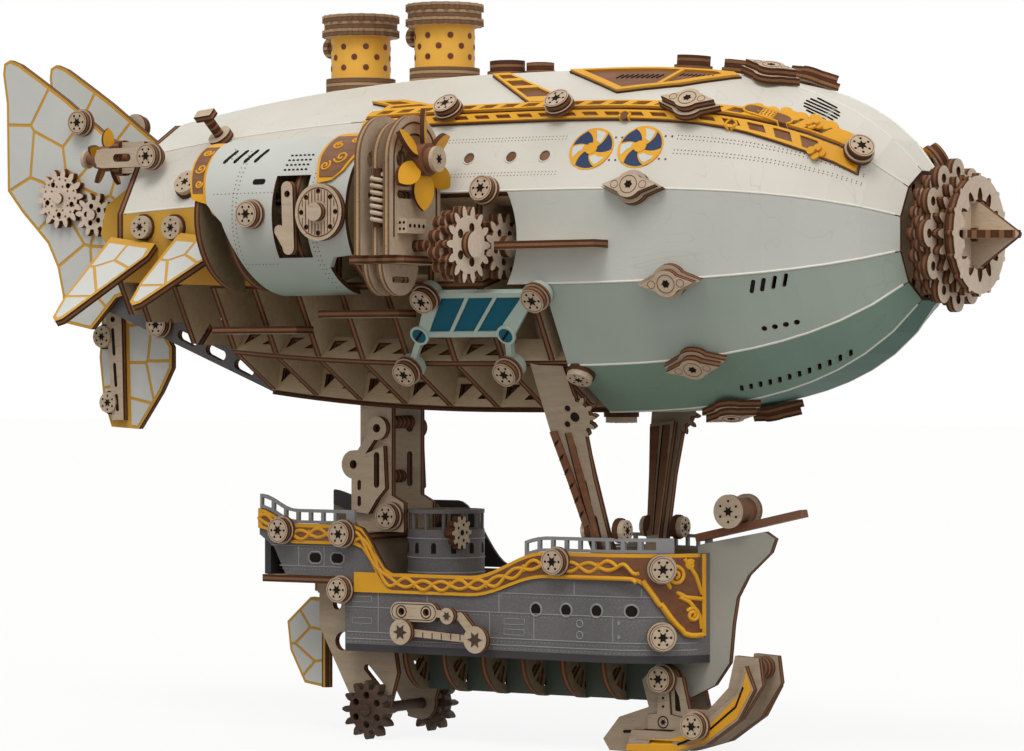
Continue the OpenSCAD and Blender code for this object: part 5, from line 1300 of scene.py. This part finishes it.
def hull_gilding():
    """The brown recess along the gold band, with gold scrolls over it."""
    recess = Detail("band_recess", "stain")
    scrolls = Detail("band_scrolls", "gold", "printed_gold")
    band = Skin("hull_trim", "hull_sides")
    trim_y = node_box("hull_trim")[1][1]
    pitch, end = 5.8, 54.2
    for side in SIDES:
        face, plain = flank(HULL_Y, side, band), flank(trim_y, side)
        xs = np.arange(-60.5, 61.1, 1.5)
        recess.ribbon(face, [(x, sheer(x) - 0.95) for x in xs], [(x, band_low(x) + 0.9) for x in xs],
                      low=-0.05, high=0.1)
        for i, x in enumerate(np.arange(-56, 56, 2 * pitch)):
            hand = 1 if i % 2 else -1
            for tall in (1.5 * hand, -0.9 * hand):
                wave = [(x + t, band_middle(x + t) + tall * math.sin(math.pi * t / pitch))
                        for t in np.linspace(-pitch, pitch, 24)]
                scrolls.line(plain, wave, 0.52, lift=0.05)
            curl = spiral(x + 0.2, band_middle(x), 1.0, 1.2, 90 * hand, hand, 18)
            scrolls.line(plain, curl, 0.26, lift=0.1, step=0.6)
        tail = [(end + t, sheer(end) - 3.45 - 0.12 * t + math.sin(math.pi * t / 3.6))
                for t in np.linspace(0, 6.4, 14)]
        scrolls.line(plain, tail, 0.5, lift=0.05)
        scrolls.line(plain, [(x, band_low(x) + 0.5) for x in np.arange(34, 60.2, 0.7)], 0.6)
        ahead, across = BOW_ALONG
        bow = Face((BOW[0], side * BOW[1], 0), (ahead, -side * across, 0), (0, 0, 1),
                   (across, side * ahead, 0), band)
        stations = [(u, bow.spot(u, 44).x / MM) for u in np.arange(2.4, 18.7, 0.6)]
        recess.ribbon(bow, [(u, sheer(x) - 0.95) for u, x in stations],
                      [(u, band_low(x) + 0.9) for u, x in stations], low=-0.05, high=0.12)
        scrolls.line(bow, [(u, band_low(x) + 0.6) for u, x in stations], 0.75)
        us = (18.5, 18.9, 19.3, 19.7)
        scrolls.ribbon(bow, [(u, 52.3) for u in us], [(u, 31.0) for u in us], high=0.35)
        for u, z, r, start, hand in ((10.8, 46.8, 2.7, 150, -1), (15.6, 36.6, 1.9, 150, -1),
                                     (14.8, 49.6, 1.2, 40, 1)):
            scrolls.line(bow, spiral(u, z, r, 1.7, start, hand), 0.52, lift=0.2, step=0.5)
        for path in ([(6.4, 48.6), (9.6, 43.4), (13.6, 41.2), (18.4, 40.6)],
                     [(13.2, 51.2), (16.4, 46.8), (18.3, 42)],
                     [(11.8, 41.4), (14.6, 40.0), (17.6, 36.4), (18.2, 33)]):
            scrolls.line(bow, path, 0.6, lift=0.2)


def turret_bands():
    """Raised bands and dark arches round the turret."""
    bands = Detail("turret_bands", "slate_line", "printed_slate")
    arches = Detail("turret_arches", "soot_and_hole_shade")
    for z in (45.4, 49.4, 54.6):
        bands.line_at([Vector((x, y, z)) * MM for x, y in disc(TURRET_X, 0, TURRET_R, 48)], 0.22, closed=True)
    for i in range(12):
        turn = math.radians(30 * i + 15)
        way = Vector((math.cos(turn), math.sin(turn), 0))
        face = Face(Vector((TURRET_X, 0, 0)) + way * TURRET_R, (-way.y, way.x, 0), (0, 0, 1), way)
        arch = [(-0.7, 50.6), (0.7, 50.6), (0.7, 52.8), (0, 53.6), (-0.7, 52.8)]
        arches.plate(face, arch, low=-0.3, high=0.06)


def turret_gear():
    """The small gear on a stub beside the turret, facing the nose."""
    rim = Detail("turret_gear_rim", "edge", "ply")
    front = Detail("turret_gear_face", "birch", "ply")
    bores = Detail("turret_gear_bores", "soot_and_hole_shade")
    y, z, root, tip = -8, 56.4, 3.5, 4.6
    face = head_on(-3.4, y, z)
    teeth = [polar(0, 0, r, math.radians(36 * i + turn)) for i in range(10)
             for turn, r in ((-12, root), (-7, tip), (7, tip), (12, root))]
    rim.plate(face, teeth, low=0, high=1.8)
    rim.line_at([Vector((x, y, z)) * MM for x in (-6.4, -3.0)], 1.6)
    front.plate(face, shrunk(teeth, 0.1), low=1.7, high=2.0)
    bores.plate(face, disc(0, 0, 0.8), low=1.9, high=2.1)
    bores.dots(face, disc(0, 0, 2.2, 5), 0.4, lift=2.0)


def far_bulwark():
    """The higher bulwark of the port side, which sweeps down to the waist farther forward. Its darker slate
    is painted shade on the bulwark's inner side.
    """
    board = Detail("port_bulwark", "slate_painted_shade", "printed_slate")
    board_y, waist_z = 16.2, 46.0
    xs = np.arange(-61, -2.4, 1.5)
    top = [(x, 64.2 + 2.4 * (1 - ramp(x, -62, -50)) - 17.6 * ramp(x, -19, -1)) for x in xs]
    low = [(x, max(sheer(x) + 0.2, waist_z)) for x in reversed(xs)]
    board.plate(flank(board_y, 1), top + low, low=-0.4, high=0.4)


def strut_face(side, depth, out):
    """A front strut's own plane, u across it and v up from its foot."""
    turn = Matrix.Rotation(math.radians(-7), 3, "Y") @ Matrix.Rotation(math.radians(19.7), 3, "X")
    ways = [turn @ Vector(way) for way in ((0, depth, 0), (1, 0, 0), (0, 0, 1), (0, out, 0))]
    for way in ways:
        way.y *= -side
    return Face(Vector((48, side * 10.6, 44)) + ways[0], *ways[1:])


def strut_layers():
    """The stained layers of the front struts: a notched rack, a groove and a toothed head's bores."""
    layer = Detail("strut_layers", "stain")
    notch = Detail("strut_notches_and_bore_shade", "soot_and_hole_shade")
    rack = [(-2.5, 10), (-3.5, 30), (-4.5, 44)]
    for side in SIDES:
        outer, inner = strut_face(side, -1, -1), strut_face(side, 3, 1)
        for face, high, outline in (
                (outer, 0.7, rack + [(u + 2.1, v) for u, v in reversed(rack)]),
                (outer, 0.35, [(-0.9, 9), (0.7, 9), (1.4, 30), (1.6, 43), (0, 43), (-0.6, 30)]),
                (inner, 0.3, [(-1.7, 12), (-0.3, 12), (-0.4, 30), (-0.6, 43), (-3.4, 43), (-2.5, 30)]),
                (inner, 0.3, [(0.5, 12), (1.7, 12), (2.6, 30), (2.9, 43), (0.9, 43), (0.6, 30)])):
            layer.plate(face, outline, high=high)
        notch.line(outer, [(-1.0, 9), (-0.7, 30), (-0.1, 43)], 0.24, lift=0.2)
        notch.line(inner, [(0.4, 12), (0.5, 30), (0.8, 43)], 0.24, lift=0.2)
        for v in range(12, 44, 4):
            u = -2.5 - (v - 10) * 2.0 / 34
            notch.plate(outer, [(u - 0.1, v), (u + 1.1, v + 0.6), (u + 2.0, v + 1.8), (u + 0.9, v + 1.3)],
                        low=0.4, high=0.85)
        # Dark studs for the holes of the strut head's gear: painted shade inside the holes
        for u, v, r in ((4, 47, 1.3), (1.2, 45.4, 0.8), (2.6, 49.6, 0.8)):
            notch.dots(outer, [(u, v)], r, 0.3)


SKID_RUNNER = [(50.4, 0.5), (64, 0.6), (74, 3.6), (83.6, 10.4), (88, 18), (86.4, 22.4), (85.2, 17.4),
               (75.4, 8.2), (64, 4.0), (51, 3.6)]
SKID_LINK = [(56.2, 6.2), (66.8, 6.4), (67.6, 9.6), (63.2, 10.4), (62.6, 17.2), (59.4, 17.2), (59.0, 10.6),
             (56.2, 10.2)]


def skid_plates():
    """The skids' gold runners, and the link, plate and bores on each skid's side."""
    groove = Detail("skid_slots", "soot_and_hole_shade")
    runner = Detail("skid_runners", "gold", "printed_gold")
    backs = Detail("skid_link_backs", "edge", "ply")
    # The skid links' plates take the darker birch as painted shade
    plates = Detail("skid_links", "birch_mid_painted_shade", "ply")
    skids = Skin("skids")
    skid_y, board_y = 9, 6
    for side in SIDES:
        skid, board = flank(skid_y, side, skids), flank(board_y, side)
        runner.plate(skid, SKID_RUNNER)
        groove.line(skid, [(66, 2.8), (74.2, 6.0), (83.4, 13.4), (85.6, 18.6)], 0.3, lift=0.1)
        backs.plate(board, SKID_LINK, high=0.7)
        plates.plate(board, shrunk(SKID_LINK, 0.12), low=0.6, high=1.0)
        groove.ring(board, 61, 8.3, 1.5, 0.16, lift=1.0, step=0.6)
        groove.plate(board, star(61, 8.3, 0.9, 0.5), low=0.9, high=1.08)
        groove.plate(board, capsule(48.6, 5.2, 51.4, 5.4, 0.8), high=0.1)
        groove.plate(board, [(63.9, 17.4), (65.2, 15.0), (65.8, 11.2), (64.2, 11.4)], high=0.1)
        groove.dots(board, [(61, 12.4), (61, 14.6)], 0.34, lift=1.0)


def keel_board():
    """The thin board that closes the middle line between the gondola's ribs. Its dark grey-green is partly
    print and partly painted shade between the ribs.
    """
    board = Detail("keel_board", "keel_green_and_shade", "printed_green")
    low, high = node_box("hull_ribs")
    for i in range(6):
        x = -17 + 12.6 * i
        length = 10.6 if i < 5 else 8.8
        board.plate(flank(0, -1), box(x, low[2] + 0.3, x + length, high[2]), low=-0.7, high=0.7)


def pipe_sockets():
    """Star sockets and rings on the pipework."""
    sockets = Detail("pipe_sockets", "dark_stain_and_shade")
    outer = node_box("pipework")[1][1]
    for side in SIDES:
        face, back = flank(outer, side), flank(outer - PLY, side)
        for x, z, r in ((-12, 30, 2.2), (12, 28.8, 2.3), (3, 34.8, 1.3)):
            sockets.plate(face, star(x, z, r, r / 2), high=0.12)
        for x in (-13, -5):
            sockets.ring(back, x, 35.4, 1.6, 0.16, step=0.6)
        sockets.line(back, capsule(-14, 35.4, -4, 35.4, 4.2), 0.12, closed=True)
        for x in (-6, -3, 0, 3, 6):
            sockets.line(back, [(x, 28.4), (x, 30)], 0.16)


def small_fittings():
    """Caps on washers, too small to be pieces of their own: on the tail boards and fin, the shoulder,
    the bilge, the strut feet and under the keel."""
    washers = Detail("fitting_washers", "edge", "ply")
    caps = Detail("fitting_caps", "birch", "ply")
    sockets = Detail("fitting_sockets", "soot_and_hole_shade")
    places = [((44, 0, node_box("keel_panel")[0][2]), (0, 0, -1), 4.2)]
    for side in SIDES:
        places += [((x, side * y, z), way, r) for x, y, z, way, r in (
            (-74.8, 38.8, 139.2, (0, side, 0), 3.2), (-87.0, 36.9, 139.6, (0, side, 0), 3.2),
            (-72.6, 35.6, 150.5, slope(2, side), 3.6), (50.2, 30.0, 99.9, slope(5, side), 3.4),
            (-129.6, 1.0, 110.0, (0, side, 0), 3.2), (-127.4, 1.0, 91.0, (0, side, 0), 3.0),
            (52.2, 14.9, 58.4, (1, 0, 0), 2.8), (44.8, 14.9, 58.4, (-1, 0, 0), 2.8))]
    for spot, way, r in places:
        spot, way = Vector(spot), Vector(way)
        washers.stud_at((spot + way * 0.5) * MM, way, r + 0.5, 1.4)
        caps.stud_at((spot + way * 1.9) * MM, way, r, 1.6)
        face = top_face((spot + way * 2.7) * MM, way)
        sockets.plate(face, star(0, 0, 1.3, 0.65), low=-0.05, high=0.08)
        sockets.dots(face, disc(0, 0, 0.66 * r, 6, 30), 0.3, 0.16)


def capstan_caps():
    """Star sockets in the ends of the capstan on the sprit."""
    sockets = Detail("capstan_sockets", "soot_and_hole_shade")
    points, faces, _, _ = node_arrays("bowsprit")
    solid, _, capstan = sprit_and_capstan()
    own = points[np.unique(faces[solid == capstan])] / MM
    low, high = own.min(axis=0), own.max(axis=0)
    x, _, z = (low + high) / 2
    for side in SIDES:
        end = high[1] if side > 0 else low[1]
        face = Face((x, end, z), (1, 0, 0), (0, 0, 1), (0, side, 0))
        sockets.plate(face, star(0, 0, 1.5, 0.75), high=0.08)
        sockets.dots(face, disc(0, 0, 2.7, 6, 30), 0.34, 0.16)


for lay in (ridge_painted_highlights, envelope_print, cap_faces, chimney_holes, trim_print, nacelle_print, tail_cells,
            tail_gear_dots, hull_print, hull_gilding, turret_bands, far_bulwark, strut_layers, skid_plates,
            keel_board, turret_gear, pipe_sockets, window_rings, hub_caps, small_fittings, engine_fittings,
            capstan_caps):
    lay()
for detail in Detail.started:
    detail.build()


# Stage, light and camera

def seen_directly(tree):
    """1 for the rays of the camera, of mirrors and of glass, and 0 for the rays that light."""
    path = add(tree, "ShaderNodeLightPath").outputs
    both = sums(tree, "MAXIMUM", path["Is Glossy Ray"], path["Is Transmission Ray"])
    return sums(tree, "MAXIMUM", path["Is Camera Ray"], both)


def build_floor():
    """A pale floor that stays white to the camera and keeps the object's soft shadow."""
    size = 6.0
    mesh = bpy.data.meshes.new("floor")
    mesh.from_pydata([(x, y, 0) for x, y in box(-size, -size, size, size)], [], [(0, 1, 2, 3)])
    floor = bpy.data.objects.new("floor", mesh)
    SCENE.collection.objects.link(floor)
    material = bpy.data.materials.new("studio_floor")
    material.use_nodes = True
    tree = material.node_tree
    tree.nodes.clear()
    matte = add(tree, "ShaderNodeBsdfDiffuse", {"Color": (0.9, 0.9, 0.9, 1)})
    glow = add(tree, "ShaderNodeEmission", {"Color": (1, 1, 1, 1), "Strength": 1.0})
    white = add(tree, "ShaderNodeMixShader", {0: 0.88, 1: matte.outputs[0], 2: glow.outputs[0]})
    dim = add(tree, "ShaderNodeBsdfDiffuse", {"Color": (0.42, 0.41, 0.4, 1)})
    both = add(tree, "ShaderNodeMixShader", {0: seen_directly(tree), 1: dim.outputs[0], 2: white.outputs[0]})
    add(tree, "ShaderNodeOutputMaterial", {"Surface": both.outputs[0]})
    mesh.materials.append(material)


def build_world():
    """White to the camera, and a soft sky that dims towards the floor as light."""
    world = bpy.data.worlds.new("studio")
    SCENE.world = world
    world.use_nodes = True
    tree = world.node_tree
    tree.nodes.clear()
    where = add(tree, "ShaderNodeTexCoord").outputs["Generated"]
    up = add(tree, "ShaderNodeSeparateXYZ", {0: where}).outputs[2]
    sky = ranged(tree, up, -0.3, 0.9, 0.16, 0.72)
    soft = add(tree, "ShaderNodeBackground", {"Color": (1.0, 0.985, 0.96, 1), "Strength": sky})
    white = add(tree, "ShaderNodeBackground", {"Color": (1, 1, 1, 1), "Strength": 1.0})
    both = add(tree, "ShaderNodeMixShader", {0: seen_directly(tree), 1: soft.outputs[0], 2: white.outputs[0]})
    add(tree, "ShaderNodeOutputWorld", {"Surface": both.outputs[0]})


def build_lamp(name, strength, tilt, turn, softness):
    """A broad lamp, tilted from straight down and turned round the vertical, in degrees."""
    lamp = bpy.data.lights.new(name, "SUN")
    lamp.energy = strength
    lamp.angle = math.radians(softness)
    lamp.color = (1.0, 0.975, 0.94)
    made = bpy.data.objects.new(name, lamp)
    made.rotation_euler = (math.radians(tilt), 0, math.radians(turn))
    SCENE.collection.objects.link(made)


def build_camera():
    """The photograph's viewpoint: level with the model's middle, 33 degrees round towards the nose."""
    camera = bpy.data.cameras.new("camera")
    camera.sensor_width = 36.0
    camera.lens = 134.8
    camera.clip_start = 0.05
    camera.clip_end = 50.0
    made = bpy.data.objects.new("camera", camera)
    made.location = (0.5731, -0.8680, 0.0988)
    made.rotation_euler = (math.radians(90.0), 0, math.radians(33.0))
    SCENE.collection.objects.link(made)
    SCENE.camera = made


build_floor()
build_world()
build_lamp("key", 1.25, 32, 12, 28)
build_lamp("fill", 0.5, 58, 62, 40)
build_camera()
SCENE.view_settings.view_transform = "Standard"
